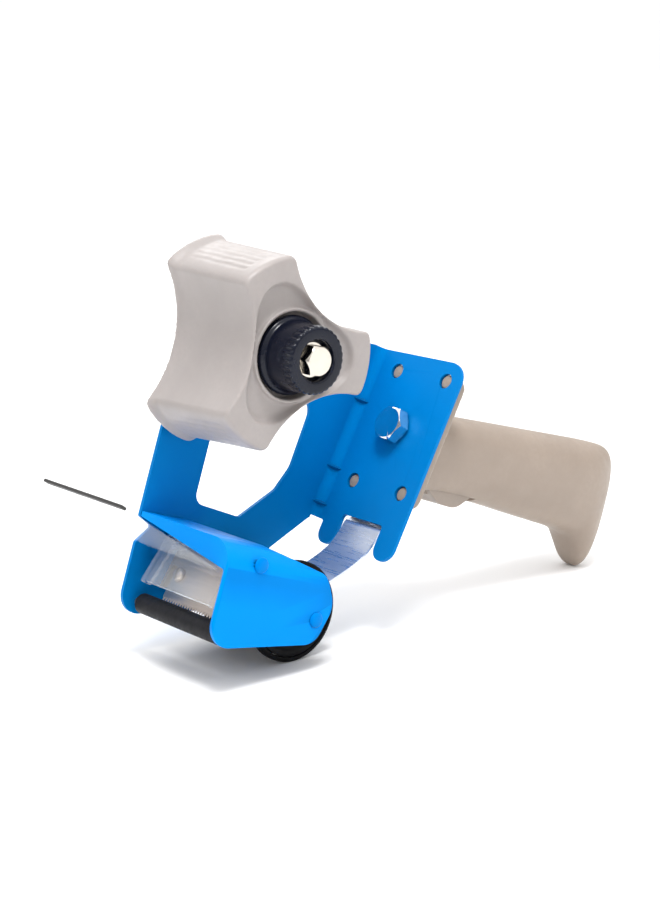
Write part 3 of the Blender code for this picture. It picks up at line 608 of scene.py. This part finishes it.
def side_and_rear():
    """Side plate and rear plate folded from one sheet."""
    steps, outside = 12, FOLD + SHEET
    turns = [math.pi + math.pi / 2 * k / steps for k in range(steps + 1)]
    arc = [(math.cos(t), math.sin(t)) for t in turns]
    inner = [(FOLD + FOLD * u, FOLD + FOLD * v) for u, v in arc]
    outer = [(FOLD + outside * u, FOLD + outside * v) for u, v in arc]
    section = [(0, 70), *inner, (140, 0), (140, -SHEET), *outer[::-1], (-SHEET, 70)]
    sheet = move(prism_z("frame_sheet", section, -140, 90), REAR)
    low, high = NOTCH_Y
    back = rounded(
        [
            (-5, REAR_TOP, 0),
            (REAR_WIDTH, REAR_TOP, 8),
            (REAR_WIDTH, REAR_FOOT, 5.8),
            (high, REAR_FOOT, 4.8),
            (high, NOTCH_H, 1.5),
            (low, NOTCH_H, 1.5),
            (low, REAR_FOOT, 4.8),
            (5.5, REAR_FOOT, 4.8),
            (5.5, -42.0, 1.0),
            (-5, -41.6, 0),
        ]
    )
    mask = move(prism_x("mask", back, -8, FOLD), REAR)
    top = rear_point(0.5 - FOLD, REAR_TOP)
    foot = rear_point(0.5 - FOLD, -41.6)
    side = rounded(
        [
            (*top, 0),
            (12, PLATE_TOP, 11),
            (12, -71.5, 1),
            (5.4, -74.5, 1),
            (11.1, -81.2, 2),
            (11.0, -109.5, 8),
            (-38, -101, 8),
            (-42, -86, 6),
            (-54, -73.4, 4),
            (-70.8, -57.7, 1),
            (*foot, 0),
        ]
    )
    fuse(mask, prism_y("side", side, -8, 0.7))
    overlap(sheet, mask)
    window = rounded(
        [
            (-11.3, -19, 5),
            (-11.4, -62.4, 4.5),
            (-34.5, -64.4, 1.5),
            (-49, -51, 6),
            (-54, -41, 10),
            (-57.5, -11, 7),
        ]
    )
    holes = [prism_y("cut", window, -5, 5)]
    rods = ((HUB, SPINDLE_R), (WHEEL, WHEEL_AXLE_R), (GUARD_PIVOT, ROD_R), (ROLLER, ROD_R))
    for centre, radius in rods:
        holes.append(pin("cut", centre, bore(radius), -5, 5))
    spots = [(peg, PEG_HOLE_R) for peg in PEGS] + [((BOLT_Y, BOLT_H), BOLT_HOLE_R)]
    for spot, radius in spots:
        holes.append(move(prism_x("cut", circle(spot, radius), -5, 5), REAR))
    edged(cut(sheet, *holes), 0.35, 3, 28)
    join(sheet, *(gusset(height) for height in GUSSETS))
    piece(sheet, "blue", "blue_paint", "frame", "side_plate")


def gusset(height):
    """Small pressed stiffener across the inside of the fold."""
    size, half, root = 5.0, 2.4, -0.4
    bm = bmesh.new()
    low = bm.verts.new((root, root, height - half))
    high = bm.verts.new((root, root, height + half))
    ahead = bm.verts.new((size, root, height))
    across = bm.verts.new((root, size, height))
    bm.faces.new((low, high, ahead))
    bm.faces.new((high, low, across))
    bm.faces.new((low, ahead, across))
    bm.faces.new((high, across, ahead))
    return move(edged(mesh_object("gusset", bm), 0.15), REAR)


def head_block(name, inset, web_radius, lip_radius):
    """Filled shape of the head cover's outside, or of its inside when inset."""
    face, top, width = HEAD_FRONT + 0.1 - inset, WEB_Z - inset, HEAD_WIDTH - inset
    far = GAP - inset * 5  # the inside runs out through the far edge
    back, below = -60, -130
    across = rounded(
        [(far, below, 0), (far, top, 0), (width, top, web_radius), (width, below, 0)]
    )
    along = rounded(
        [(back, far - 1, 0), (face, far - 1, 0), (face, width, lip_radius), (back, width, 0)]
    )
    return overlap(prism_x(name, across, back, 30), prism_z("plan", along, below, -40))


def head_cover():
    """Pressed cover: web, big bend, near cheek and a lip hanging in front of the web."""
    side = rounded(
        [
            (HEAD_FRONT, WEB_Z + 2, 0),
            (HEAD_FRONT, -108.4, 8.5),
            (-37.5, -101.0, 8),
            (-42.5, -86, 9),
            (-36, -74.9, 5),
            (-8.6, -69.2, 3),
            (-8.6, WEB_Z + 2, 0),
        ]
    )
    outside = head_block("head_cover_sheet", 0, 10.5, 1.2)
    shell = overlap(outside, prism_y("side", side, -5, HEAD_WIDTH + 5))
    cut(shell, head_block("inside", SHEET, 9.0, 0.3))
    near = HEAD_WIDTH - SHEET
    mouth = rounded([(-2, -70.9, 0), (near, -79.6, 1.2), (near, -120, 0), (-2, -120, 0)])
    cut(shell, prism_x("mouth", mouth, 5, 20))
    rods = ((WHEEL, WHEEL_AXLE_R), (GUARD_PIVOT, ROD_R))
    cut(shell, *(pin("cut", centre, bore(radius), 50, 60) for centre, radius in rods))
    edged(shell, 0.5, 4, 28)
    piece(shell, "bright_blue", "bright_blue_paint", "frame", "head_cover")


# ---------------------------------------------------------------- handle


def handle_stations():
    """(x, top, bottom, half width) down the barrel, from the flange to the heel."""
    stations = [
        (-80.0, -4.8, -42.0, 15.6),
        (-84.0, -5.6, -41.0, 15.0),
        (-89, -6.2, -39.8, 14.2),
        (-96, -6.2, -38.4, 13.6),
        (-108, -5.4, -37.4, 13.6),
        (-131, -3.9, -37.6, 13.9),
        (-155, -2.4, -38.9, 14.3),
        (-177, -1.0, -40.0, 14.4),
        (-184, -0.6, -40.7, 14.3),
        (-189, -0.4, -42.3, 13.9),
        (-192.5, -0.3, -45.8, 13.3),
        (-195.5, -0.3, -49.8, 12.5),
        (-198.4, -0.5, -53.2, 11.5),
        (-201.2, -1.2, -54.3, 10.0),
        (-203.7, -2.8, -51.2, 8.2),
        (-205.6, -5.4, -45.0, 6.0),
        (-206.7, -9.0, -38.0, 3.8),
        (-207.0, -14.0, -30.0, 1.2),
    ]
    return smooth_path(stations, 5)


def barrel():
    """The handle's squarish barrel, lofted through its stations."""
    rings = []
    sides, square = 64, 0.74
    for x, top, bottom, half in handle_stations():
        middle, reach = (top + bottom) / 2, (top - bottom) / 2
        ring = []
        for k in range(sides):
            t = 2 * math.pi * (k + 0.5) / sides
            u, v = math.cos(t), math.sin(t)
            across = math.copysign(abs(u) ** square, u) * half
            up = math.copysign(abs(v) ** square, v) * reach
            ring.append((x, HANDLE_Y + across, middle + up))
        rings.append(ring)
    return loft("handle_moulding", rings)


def handle():
    """Barrel, flange and brake ears as one soft-edged moulding, with the trigger's pocket."""
    body = barrel()
    back = SHEET + GAP
    plate = rounded([(4, 27.5, 6), (47.5, 27.5, 6), (47.5, -28.5, 6), (4, -28.5, 6)])
    fuse(body, move(prism_x("flange", plate, -back - 5, -back), REAR))
    slab = [(-30, -70), (80, -70), (80, 60), (-30, 60)]
    cut(body, move(prism_x("slab", slab, -back, 25), REAR))
    moulded(body, 0.7, 7)
    foot = rear_point(back + 2.5, -26)
    reach, thickness = 2.6, 2.6
    ear = rounded(
        [
            (foot[0] - 2.5, foot[1] + 3, 0),
            (foot[0] + 2.5, foot[1] + 3, 0),
            (BRAKE_PIVOT[0] + reach, BRAKE_PIVOT[1] - reach, 2.5),
            (BRAKE_PIVOT[0] - reach, BRAKE_PIVOT[1] - reach, 2.5),
        ]
    )
    for low in (12.6, 38.6):
        fuse(body, prism_y("ear", ear, low, low + thickness))
    pocket = [(-125, -60), (-125, -26.5), (-92, -26.5), (-92, -60)]
    channel = [(-93, -60), (-93, -31), (-74, -31), (-74, -60)]
    cut(
        body,
        prism_y("pocket", pocket, 17.2, 33.8),
        prism_y("channel", channel, 15.6, 38.2),
        move(pin("bore", (0, 0), BOLT_HOLE_R, -2, 12), BOLT_SPOT),
        pin("cut", BRAKE_PIVOT, bore(HINGE_PIN_R), 5, 45),
    )
    peg = [(0, 0.7), (2.0, 0.7), (2.5, 0.85), (2.75, 1.3), (2.8, back + 1), (0, back + 1)]
    for y, height in PEGS:
        spot = REARWARD @ Matrix.Translation((y, 0, height))
        fuse(body, move(turned("peg", (0, 0), peg, 40), spot))
    piece(body, "handle", "beige_plastic", "frame", "handle")


def trigger():
    """Finger lever with the nose that presses the brake strip's tail."""
    outline = rounded(
        [
            (-97.0, -29.6, 3),
            (-97.6, -36.0, 3),
            (-105.5, -41.0, 8),
            (-115.5, -41.4, 9),
            (-123.6, -34.5, 4),
            (-124.2, -29.8, 1),
        ]
    )
    lever = prism_y("trigger_lever", outline, 17.6, 33.4)
    nose = rounded(
        [
            (-103, -29.8, 0),
            (-103, -38, 0),
            (-96, -38.4, 6),
            (-89.4, -44.2, 1),
            (-88.2, -41.2, 1),
            (-95, -31.5, 5),
        ]
    )
    fuse(lever, prism_y("nose", nose, 20, 31))
    edged(lever, 2.2, 5, 40)
    cut(lever, pin("cut", TRIGGER_PIVOT, bore(HINGE_PIN_R), 10, 40))
    piece(lever, "trigger", "beige_plastic", "trigger", "trigger")


def brake_strip():
    """Sprung strip from its hinge through the rear plate's notch down to the press wheels."""
    path = smooth_path(
        [
            (-80.6, -52.6),
            (-78.0, -54.2),
            (-75.6, -55.2),
            (-74.0, -56.6),
            (-73.0, -59.4),
            (-71.4, -63.0),
            (-69.2, -66.6),
            (-65.2, -70.8),
            (-60.6, -74.7),
            (-56.6, -77.8),
            (-53.2, -80.7),
            (-51.2, -84.0),
            (-50.6, -87.4),
        ],
        6,
    )
    low, high, thickness = 16.8, 37.9, 0.9
    tail = ribbon([(-83.4, -50.4), (-86.6, -48.2), (-90.6, -46.2)], thickness)
    strip = prism_y("brake_strip_steel", ribbon(path, thickness), low, high)
    fuse(
        strip,
        tube("knuckle", BRAKE_PIVOT, 1.6, 2.6, low, high, 40),
        prism_y("tail", tail, 19, 32),
    )
    edged(strip, 0.2, 2, 35)
    piece(strip, "sprung", "chrome", "brake", "brake_strip")


# ---------------------------------------------------------------- tape hub and knob


def arm_turn(arm):
    """Turn from +X to the middle of an arm."""
    return Matrix.Rotation(-math.radians(HUB_PHASE + 120 * arm), 4, "Y")


def hub_ring(shape, y, factor=1.0):
    return [(x * factor, y, z * factor) for x, z in hub_outline(shape)]


def hub_pocket():
    """Shallow three-lobed recess in the near face, deepest round the knob and soft at its rim."""
    floor_r, arm_reach, step = 17.7, 8.9, 2
    rings = []
    for rise, grow in ((-3.0, -1.6), (-2.4, 0.0), (-0.6, 1.0), (2, 3.0)):
        ring = []
        for degrees in range(0, 360, step):
            lobe = 0.5 + 0.5 * math.cos(math.radians(3 * (degrees - HUB_PHASE)))
            x, z = polar(floor_r + arm_reach * lobe**1.3 + grow, degrees)
            ring.append((x, HUB_NEAR + rise, z))
        rings.append(ring)
    return loft("pocket", rings)


def hub():
    """Tapered three-armed hub: lipped far end, sunk near face, ribbed lands and an open back."""
    shell = loft(
        "hub_moulding",
        [
            hub_ring(HUB_LIP_SHAPE, HUB_FAR),
            hub_ring(HUB_LIP_SHAPE, HUB_FAR + 1.4),
            hub_ring(HUB_FAR_SHAPE, HUB_FAR + 4.5),
            hub_ring(HUB_NEAR_SHAPE, HUB_NEAR - 1.2),
            hub_ring(HUB_NEAR_SHAPE, HUB_NEAR, 0.975),
        ],
    )
    rings = []
    for shape, y in ((HUB_FAR_SHAPE, HUB_FAR - 1), (HUB_NEAR_SHAPE, 41.0)):
        reach, half, valley = shape
        inner = (reach - HUB_WALL, half - math.degrees(HUB_WALL / reach), valley - HUB_WALL)
        rings.append(hub_ring(inner, y))
    cut(shell, loft("hollow", rings), hub_pocket())
    fuse(shell, tube("collar", HUB, 15.4, 17.4, 43.0, HUB_NEAR - 1.2))
    cut(shell, turned("corner_shade", HUB, [(0, 45), (15.6, 45), (16.2, 51), (16.2, 54), (0, 54)]))
    fuse(shell, pin("boss", HUB, 8.2, HUB_FAR, 42.5), *(hub_rib(arm) for arm in range(3)))
    cut(shell, pin("bore", HUB, 5.3, 0, 60), *land_grooves())
    moulded(shell, 0.5, 7)
    piece(shell, "hub", "beige_plastic", "hub", "hub")


def land_grooves():
    """Sunk bands along each land that leave narrow raised ribs between them."""
    grooves = []
    bands, pitch, width = 5, 3.1, 1.9
    for arm in range(3):
        for k in range(bands):
            offset = (k - (bands - 1) / 2) * pitch
            low, high = offset - width / 2, offset + width / 2
            middle = 36.9 - 0.012 * offset**2
            rows = []
            for base, y in ((middle + 1.1, 12), (middle - 0.6, 45)):
                top = base + 6
                rows.append([(base, y, low), (top, y, low), (top, y, high), (base, y, high)])
            grooves.append(move(loft("groove", rows), arm_turn(arm)))
    return grooves


def hub_rib(arm):
    """Wall from the boss to the middle of an arm, seen through the open back."""
    rib = prism_y("rib", [(6.8, -0.9), (35.2, -0.9), (35.2, 0.9), (6.8, 0.9)], HUB_FAR + 3, 42.0)
    return move(rib, arm_turn(arm))


def knob():
    """Tension knob: glossy flange, smooth body, fine teeth round the front, dished for the nut."""
    teeth, per, depth = 30, 10, 0.42
    front, hole = KNOB_FRONT, bore(SPINDLE_R)
    profile = [  # radius, y and how much of the teeth shows there
        (9.0, KNOB_SEAT, 0),
        (13.7, KNOB_SEAT, 0),
        (14.2, KNOB_SEAT + 0.15, 0),
        (14.55, KNOB_SEAT + 0.6, 0),
        (14.6, KNOB_SEAT + 1.3, 0),
        (14.5, KNOB_SEAT + 2.0, 0),
        (14.15, KNOB_SEAT + 2.6, 0),
        (13.6, KNOB_SEAT + 3.0, 0),
        (13.2, KNOB_SEAT + 3.4, 0),
        (12.9, KNOB_SEAT + 4.2, 0),
        (12.6, 54.0, 0),
        (12.3, front - 6.4, 0),
        (12.2, front - 5.4, 0),
        (12.25, front - 5.0, 0.15),
        (12.4, front - 4.5, 0.6),
        (12.5, front - 3.8, 1),
        (12.45, front - 1.3, 1),
        (12.2, front - 0.6, 0.8),
        (11.8, front - 0.2, 0.5),
        (11.1, front, 0.1),
        (8.4, front, 0),
        (7.9, front - 0.15, 0),
        (7.6, front - 0.6, 0),
        (7.4, front - 1.4, 0),
        (7.2, KNOB_DISH, 0),
        (hole, KNOB_DISH, 0),
        (hole, 57.0, 0),
        (9.0, 57.0, 0),
    ]
    count = teeth * per
    bm = bmesh.new()
    rows = []
    for radius, y, wave in profile:
        row = []
        for k in range(count):
            dip = depth * wave * (0.5 - 0.5 * math.cos(2 * math.pi * k / per)) ** 1.6
            x, z = polar(radius - dip, 360 * k / count)
            row.append(bm.verts.new((x, y, z)))
        rows.append(row)
    for first, second in zip(rows, rows[1:] + rows[:1]):
        for k in range(count):
            after = (k + 1) % count
            bm.faces.new((first[k], first[after], second[after], second[k]))
    body = mesh_object("knob_moulding", bm)
    return piece(body, "navy", "navy_plastic", "knob", "knob")


def hex_head(name, across_flats, low, high, crown=0.6):
    """Hexagonal head along Y with its corners turned down to a cone."""
    flat, corner = across_flats / 2, across_flats / math.sqrt(3)
    block = prism_y(name, circle((0, 0), corner, 6), low, high)
    side = 1 if high > low else -1
    cone = [
        (0, low - side),
        (corner + 2, low - side),
        (corner + 2, high - side * crown * 4),
        (flat * 0.985, high - side * 0.1),
        (flat * 0.95, high),
        (0, high),
    ]
    overlap(block, turned("cone", (0, 0), cone))
    return edged(block, 0.18, 3, 20)


def knob_hardware():
    """Washer and nut in the knob's dish, and the tension spring behind it."""
    washer = edged(tube("knob_washer_ring", HUB, 3.3, 6.5, 59.3, 60.2), 0.25, 3)
    piece(washer, "nickel", "chrome", "knob", "knob_washer")
    nut = hex_head("knob_nut_head", 10.4, 60.5, 65.0, 0.85)
    move(nut, Matrix.Rotation(math.radians(9), 4, "Y"))
    cut(nut, pin("cut", HUB, 3.3, 58, 64.3))
    piece(nut, "nickel", "chrome", "knob", "knob_nut")
    spring = coil("tension_spring_coil", HUB, 6.4, 1.3, 47.4, 55.2, 4)
    piece(spring, "steel", "steel", "knob", "tension_spring")


def spindle():
    """Spindle stud, spacer, bush and friction washer that carry the hub."""
    profile = [
        (0, -3.9),
        (2.5, -3.85),
        (4.5, -3.7),
        (6.0, -3.3),
        (7.0, -2.8),
        (7.5, -2.3),
        (7.6, -SHEET - GAP),
        (SPINDLE_R, -SHEET - GAP),
        (SPINDLE_R, 57.3),
        (3.7, 57.6),
        (3.0, 57.6),
        (3.0, 64.0),
        (0, 64.0),
    ]
    piece(turned("spindle_stud", HUB, profile), "steel", "steel", "frame", "hub_spindle")
    inner = bore(SPINDLE_R)
    spacer = edged(tube("spindle_spacer", HUB, inner, 8.0, GAP, HUB_FAR - GAP), 0.3)
    piece(spacer, "steel", "steel", "frame", "hub_spacer")
    bush = edged(tube("hub_bush_sleeve", HUB, inner, 5.0, HUB_FAR, 44.8), 0.15)
    piece(bush, "dark", "dark_plastic", "hub", "hub_bush")
    washer = edged(tube("friction_disc", HUB, inner, 12.5, 45.3, 46.3), 0.2)
    piece(washer, "dark", "dark_plastic", "hub", "friction_washer")


def handle_bolt():
    """Hexagon bolt on a thin washer face, through the rear plate into the handle."""
    head = hex_head("handle_bolt_head", 13.0, -1.1, -6.1, 0.55)
    face = [(0, -0.3), (6.2, -0.3), (6.4, -0.5), (6.4, -1.3), (0, -1.3)]
    fuse(head, turned("face", (0, 0), face))
    fuse(head, pin("shank", (0, 0), 4.0, -1.0, 25.0))
    piece(move(head, BOLT_SPOT), "chrome", "chrome", "frame", "handle_bolt")


# ---------------------------------------------------------------- rollers and wheels


def front_roller():
    """Rubber sleeve on its tube, and the axle that ends blind inside the near cheek."""
    start, end = 3.0, HEAD_WIDTH - SHEET - 0.6
    sleeve = edged(tube("front_roller_rubber", ROLLER, 2.9, ROLLER_R, start, end), 0.35)
    piece(sleeve, "roller", "black_rubber", "front_roller", "front_roller_sleeve")
    core = edged(tube("front_roller_tube", ROLLER, bore(ROD_R), 2.6, start, end), 0.15)
    piece(core, "dark", "dark_plastic", "front_roller", "front_roller_core")
    axle = pin("front_roller_pin", ROLLER, ROD_R, -SHEET, HEAD_WIDTH - SHEET - GAP)
    piece(edged(axle, 0.25), "steel", "steel", "frame", "front_roller_axle")


def press_wheels():
    """Drum, dished at both ends, with a rubber tyre at each, between two spacers."""
    far, (near_in, near) = TYRE_Y[0][0], TYRE_Y[1]
    inner, drum, seat, dish = bore(WHEEL_AXLE_R), 13.2, 17.2, 14.4
    half = [
        (inner, near + 0.8),
        (5.2, near + 0.8),
        (5.5, near + 0.5),
        (5.5, near - 1.2),
        (5.9, near - 1.6),
        (dish - 0.4, near - 1.6),
        (dish, near - 1.3),
        (dish + 0.5, near - 0.4),
        (dish + 0.9, near - 0.2),
        (seat - 0.3, near - 0.2),
        (seat, near - 0.4),
        (seat, near_in + 0.2),
        (drum + 0.6, near_in - 0.1),
        (drum, near_in - 0.8),
    ]
    middle = (far + near) / 2
    profile = half + [(radius, 2 * middle - y) for radius, y in half[::-1]]
    wheel = turned("press_wheel_drum", WHEEL, profile)
    piece(wheel, "dark", "dark_plastic", "press_wheels", "wheel_drum")
    inside, soft, hard = seat + GAP, 1.3, 0.4
    for side, (low, high) in zip(("far", "near"), TYRE_Y):
        section = [
            (inside, low, hard),
            (WHEEL_R, low, soft),
            (WHEEL_R, high, soft),
            (inside, high, hard),
        ]
        tyre = turned(side + "_rubber", WHEEL, rounded(section, 15), 128)
        piece(tyre, "rubber", "black_rubber", "press_wheels", side + "_tyre")
    for side, low, high in (("far", GAP, far - 1.1), ("near", near + 1.1, 55.2)):
        node = side + "_wheel_spacer"
        spacer = edged(tube(node + "_sleeve", WHEEL, inner, 3.6, low, high), 0.25)
        piece(spacer, "dark", "dark_plastic", "frame", node)


def headed_rod(name, centre, radius, node):
    """Rod across the head with a low domed rivet head, painted over, outside each cheek."""
    stand_off = 0.05
    near = HEAD_WIDTH + stand_off
    far = -SHEET - stand_off
    dome = [(1, 0), (0.99, 0.2), (0.93, 0.5), (0.8, 0.75), (0.55, 0.92), (0.25, 0.99), (0, 1)]
    head = [(ROD_HEAD_R * wide, high) for wide, high in dome]
    profile = [(r, far - h) for r, h in head[::-1]]
    profile += [(radius, far), (radius, near)]
    profile += [(r, near + h) for r, h in head]
    piece(turned(name, centre, profile), "bright_blue", "bright_blue_paint", "frame", node)


# ---------------------------------------------------------------- blade and guard

BLADE_TIP = (-3.4, -100.4)
BLADE_TOP = (-9.6, -79.0)
BLADE_LOW = 6.2
BLADE_SCREW_Y, BLADE_SCREW_Z = (9.8, 46), 11
GUARD_LOW, GUARD_HIGH = 6.2, 51.0
FLAP_PATH = [(4.7, -81.6), (7.6, -81.4), (12.0, -80.4), (57.2, -65.6)]
FLAP_LOW, FLAP_HIGH = 3.4, 53.0


def blade_frame():
    """Frame with X out of the blade's face, Y along the head and Z up the blade from its tip."""
    rise = Vector((BLADE_TOP[0] - BLADE_TIP[0], 0, BLADE_TOP[1] - BLADE_TIP[1])).normalized()
    out = Vector((0, 1, 0)).cross(rise)
    matrix = Matrix((out, (0, 1, 0), rise)).transposed().to_4x4()
    matrix.translation = Vector((BLADE_TIP[0], 0, BLADE_TIP[1]))
    return matrix


def screw_holes():
    return [prism_x("cut", circle((y, BLADE_SCREW_Z), 1.8), -5, 5) for y in BLADE_SCREW_Y]


def blade():
    """Serrated strip screwed to the front of its carrier."""
    low, high, teeth, depth = BLADE_LOW, 52.6, 30, 1.7
    edge = []
    for k in range(teeth):
        start = low + (high - low) * k / teeth
        edge += [(start, depth), (start + (high - low) / teeth / 2, 0)]
    outline = edge + [(high, depth), (high, 14), (low, 14)]
    strip = prism_x("serrated_blade", outline, GAP, GAP + 0.6)
    cut(strip, *screw_holes())
    move(edged(strip, 0.08, 2), blade_frame())
    piece(strip, "blade", "steel", "frame", "blade")


def blade_carrier():
    """Bar behind the blade, with a folded shelf, an end tab at each cheek and two beads."""
    end = 53.9
    corners = [(BLADE_LOW, 3), (end, 3), (end, 22), (1.6, 22), (1.6, 14), (BLADE_LOW, 14)]
    bar = prism_x("blade_carrier_bar", rounded([(y, z, 1) for y, z in corners]), -1.2, 0)
    parts = [prism_x("shelf", [(1.5, 20.6), (54, 20.6), (54, 21.8), (1.5, 21.8)], -4.5, -0.5)]
    for start in (GAP, 53.8):
        tab = rounded([(-0.1, 4, 0), (-0.1, 21, 0), (-6, 19, 2), (-6, 7, 2)])
        parts.append(prism_y("tab", tab, start, start + 1.4))
    for low in (15.4, 18.2):
        high = low + 1
        bead = rounded([(y, z, 0.4) for y, z in ((4, low), (51.5, low), (51.5, high), (4, high))])
        parts.append(prism_x("bead", bead, -0.5, 0.5))
    fuse(bar, *parts)
    cut(bar, *screw_holes())
    move(edged(bar, 0.2, 2), blade_frame())
    piece(bar, "blade", "steel", "frame", "blade_carrier")


def blade_screws():
    """Slotted pan-head screws that hold the blade to its carrier."""
    shank = [(0, -2.6), (1.5, -2.6), (1.5, 1.2)]
    head = [(2.9, 1.2), (2.9, 1.7), (2.5, 2.3), (1.6, 2.6), (0, 2.7)]
    slot = [(-0.35, -2.2), (0.35, -2.2), (0.35, 2.2), (-0.35, 2.2)]
    turn = Matrix.Rotation(math.radians(-90), 4, "Z")
    for side, y in zip(("far", "near"), BLADE_SCREW_Y):
        screw = turned(side + "_screw", (0, 0), shank + head, 48)
        cut(screw, prism_y("slot", slot, 2.0, 4))
        spot = blade_frame() @ (Matrix.Translation((0, y, BLADE_SCREW_Z)) @ turn)
        piece(move(screw, spot), "blade", "steel", "frame", side + "_blade_screw")


def guard():
    """Clear moulded guard: front plate, end ribs and two knuckles on the rod."""
    low, high, rib_width = GUARD_LOW, GUARD_HIGH, 2.4
    front = ribbon([(0.9, -77.4), (7.6, -94.2)], 2.2)
    rib = rounded([(2.0, -75.6, 1), (9.2, -94.4, 0.8), (5.6, -95.4, 0.8), (-2.8, -76.0, 1)])
    arm = [(-3.5, -73.2), (1.4, -75.8), (0.2, -80.2), (-3.5, -78.4)]
    plate = prism_y("clear_guard_moulding", front, low, high)
    parts = []
    for start in (low, high - rib_width):
        parts.append(prism_y("rib", rib, start, start + rib_width))
    for start, end in ((low, 14), (45, high)):
        parts.append(pin("knuckle", GUARD_PIVOT, 3.1, start, end, 48))
        parts.append(prism_y("arm", arm, start, end))
    fuse(plate, *parts)
    cut(plate, pin("cut", GUARD_PIVOT, bore(ROD_R), 0, HEAD_WIDTH))
    edged(plate, 0.3, 3)
    piece(plate, "clear", "clear_plastic", "guard", "guard")


def flap():
    """Thin clear flap and the dark strip along its free edge."""
    sheet = prism_y("clear_flap_film", ribbon(FLAP_PATH, 0.5), FLAP_LOW, FLAP_HIGH)
    piece(edged(sheet, 0.12, 2), "film", "clear_plastic", "guard", "guard_flap")
    start, end = Vector(FLAP_PATH[-2]), Vector(FLAP_PATH[-1])
    along = (end - start).normalized()
    path = [tuple(end + along * 0.02), tuple(end + along * (GAP + 2.4))]
    strip = prism_y("flap_edge_strip", ribbon(path, 1.2), FLAP_LOW, FLAP_HIGH)
    piece(edged(strip, 0.35, 3), "strip", "dark_plastic", "guard", "flap_edge")


def guard_spring():
    """Torsion spring round the guard's rod, between its knuckles."""
    spring = coil("guard_torsion_spring", GUARD_PIVOT, 2.45, 0.7, 24.0, 33.0, 9)
    piece(spring, "steel", "steel", "frame", "guard_spring")


def small_pins():
    """Hinge pins in the handle, and the insert that the handle's bolt screws into."""
    for side, centre, low, high in (
        ("brake", BRAKE_PIVOT, 11.5, 42.0),
        ("trigger", TRIGGER_PIVOT, 13.4, 35.5),
    ):
        hinge = edged(pin(side + "_hinge_pin", centre, HINGE_PIN_R, low, high, 40), 0.2)
        piece(hinge, "steel", "steel", "frame", side + "_pin")
    insert = tube("handle_threaded_insert", (0, 0), 4.3, 7.0, 13.0, 27.0)
    move(edged(insert, 0.4), BOLT_SPOT)
    piece(insert, "brass", "brass", "frame", "handle_insert")


# ---------------------------------------------------------------- stage


def floor():
    """Plain pale studio floor."""
    n = Nodes("studio_floor")
    tone = n.ramp(n.noise(0.4, 3), 0, 1)
    n.link(n.mix(tone, (0.95, 0.95, 0.95), (0.97, 0.97, 0.97)), n.shader.inputs["Base Color"])
    n.set(Roughness=0.9, Specular_IOR_Level=0.0)
    bm = bmesh.new()
    bmesh.ops.create_grid(bm, x_segments=2, y_segments=2, size=80)
    plane = mesh_object("studio_floor", bm)
    plane.data.materials.append(n.material)


def light(name, position, aim, size, watts):
    """Soft white lamp of size (width, height) metres."""
    lamp = bpy.data.lights.new(name, "AREA")
    lamp.shape = "RECTANGLE"
    lamp.size, lamp.size_y = size
    lamp.energy = watts
    obj = bpy.data.objects.new(name, lamp)
    bpy.context.scene.collection.objects.link(obj)
    obj.location = position
    obj.rotation_euler = (Vector(aim) - Vector(position)).to_track_quat("-Z", "Y").to_euler()


def sky():
    """White overhead and dimmer towards the horizon, so that bright metal has something to show."""
    world = bpy.data.worlds.new("studio")
    bpy.context.scene.world = world
    world.use_nodes = True
    nodes, links = world.node_tree.nodes, world.node_tree.links
    place = nodes.new("ShaderNodeTexCoord")
    split = nodes.new("ShaderNodeSeparateXYZ")
    rise = nodes.new("ShaderNodeMapRange")
    rise.inputs["From Min"].default_value = 0.0
    rise.inputs["From Max"].default_value = 0.75
    rise.inputs["To Min"].default_value = 0.30
    rise.inputs["To Max"].default_value = 1.25
    links.new(place.outputs["Generated"], split.inputs["Vector"])
    links.new(split.outputs["Z"], rise.inputs["Value"])
    links.new(rise.outputs["Result"], nodes["Background"].inputs["Strength"])
    nodes["Background"].inputs["Color"].default_value = (1, 1, 1, 1)


def studio():
    sky()
    aim = (0.02, 0.0, 0.07)
    light("key", (0.2, 0.3, 1.3), aim, (0.4, 0.4), 11)
    light("fill", (-0.4, 1.2, 0.7), aim, (0.8, 0.8), 0.6)
    light("rim", (-0.6, -0.9, 0.9), aim, (0.8, 0.5), 4)


CAMERA_AT = Vector((449.4, 593.1, -20.5))  # both in the gun's frame
CAMERA_AIM = Vector((-48.1, 26.9, -30.2))
CAMERA_LENS = 78.5
CAMERA_ROLL = math.radians(0.6)


def camera():
    lens = bpy.data.cameras.new("camera")
    lens.lens = CAMERA_LENS
    lens.sensor_width = 36
    lens.clip_start = 0.01
    obj = bpy.data.objects.new("camera", lens)
    bpy.context.scene.collection.objects.link(obj)
    at, aim = GUN @ CAMERA_AT, GUN @ CAMERA_AIM
    look = (aim - at).to_track_quat("-Z", "Y").to_matrix().to_4x4()
    obj.matrix_world = Matrix.Translation(at) @ look @ Matrix.Rotation(-CAMERA_ROLL, 4, "Z")
    bpy.context.scene.camera = obj
    bpy.context.scene.view_settings.view_transform = "Standard"


camera()
floor()
studio()
side_and_rear()
head_cover()
handle()
trigger()
brake_strip()
hub()
knob()
knob_hardware()
spindle()
handle_bolt()
front_roller()
press_wheels()
headed_rod("wheel_axle_rod", WHEEL, WHEEL_AXLE_R, "wheel_axle")
headed_rod("guard_hinge_rod", GUARD_PIVOT, ROD_R, "guard_rod")
blade()
blade_carrier()
blade_screws()
guard()
flap()
guard_spring()
small_pins()
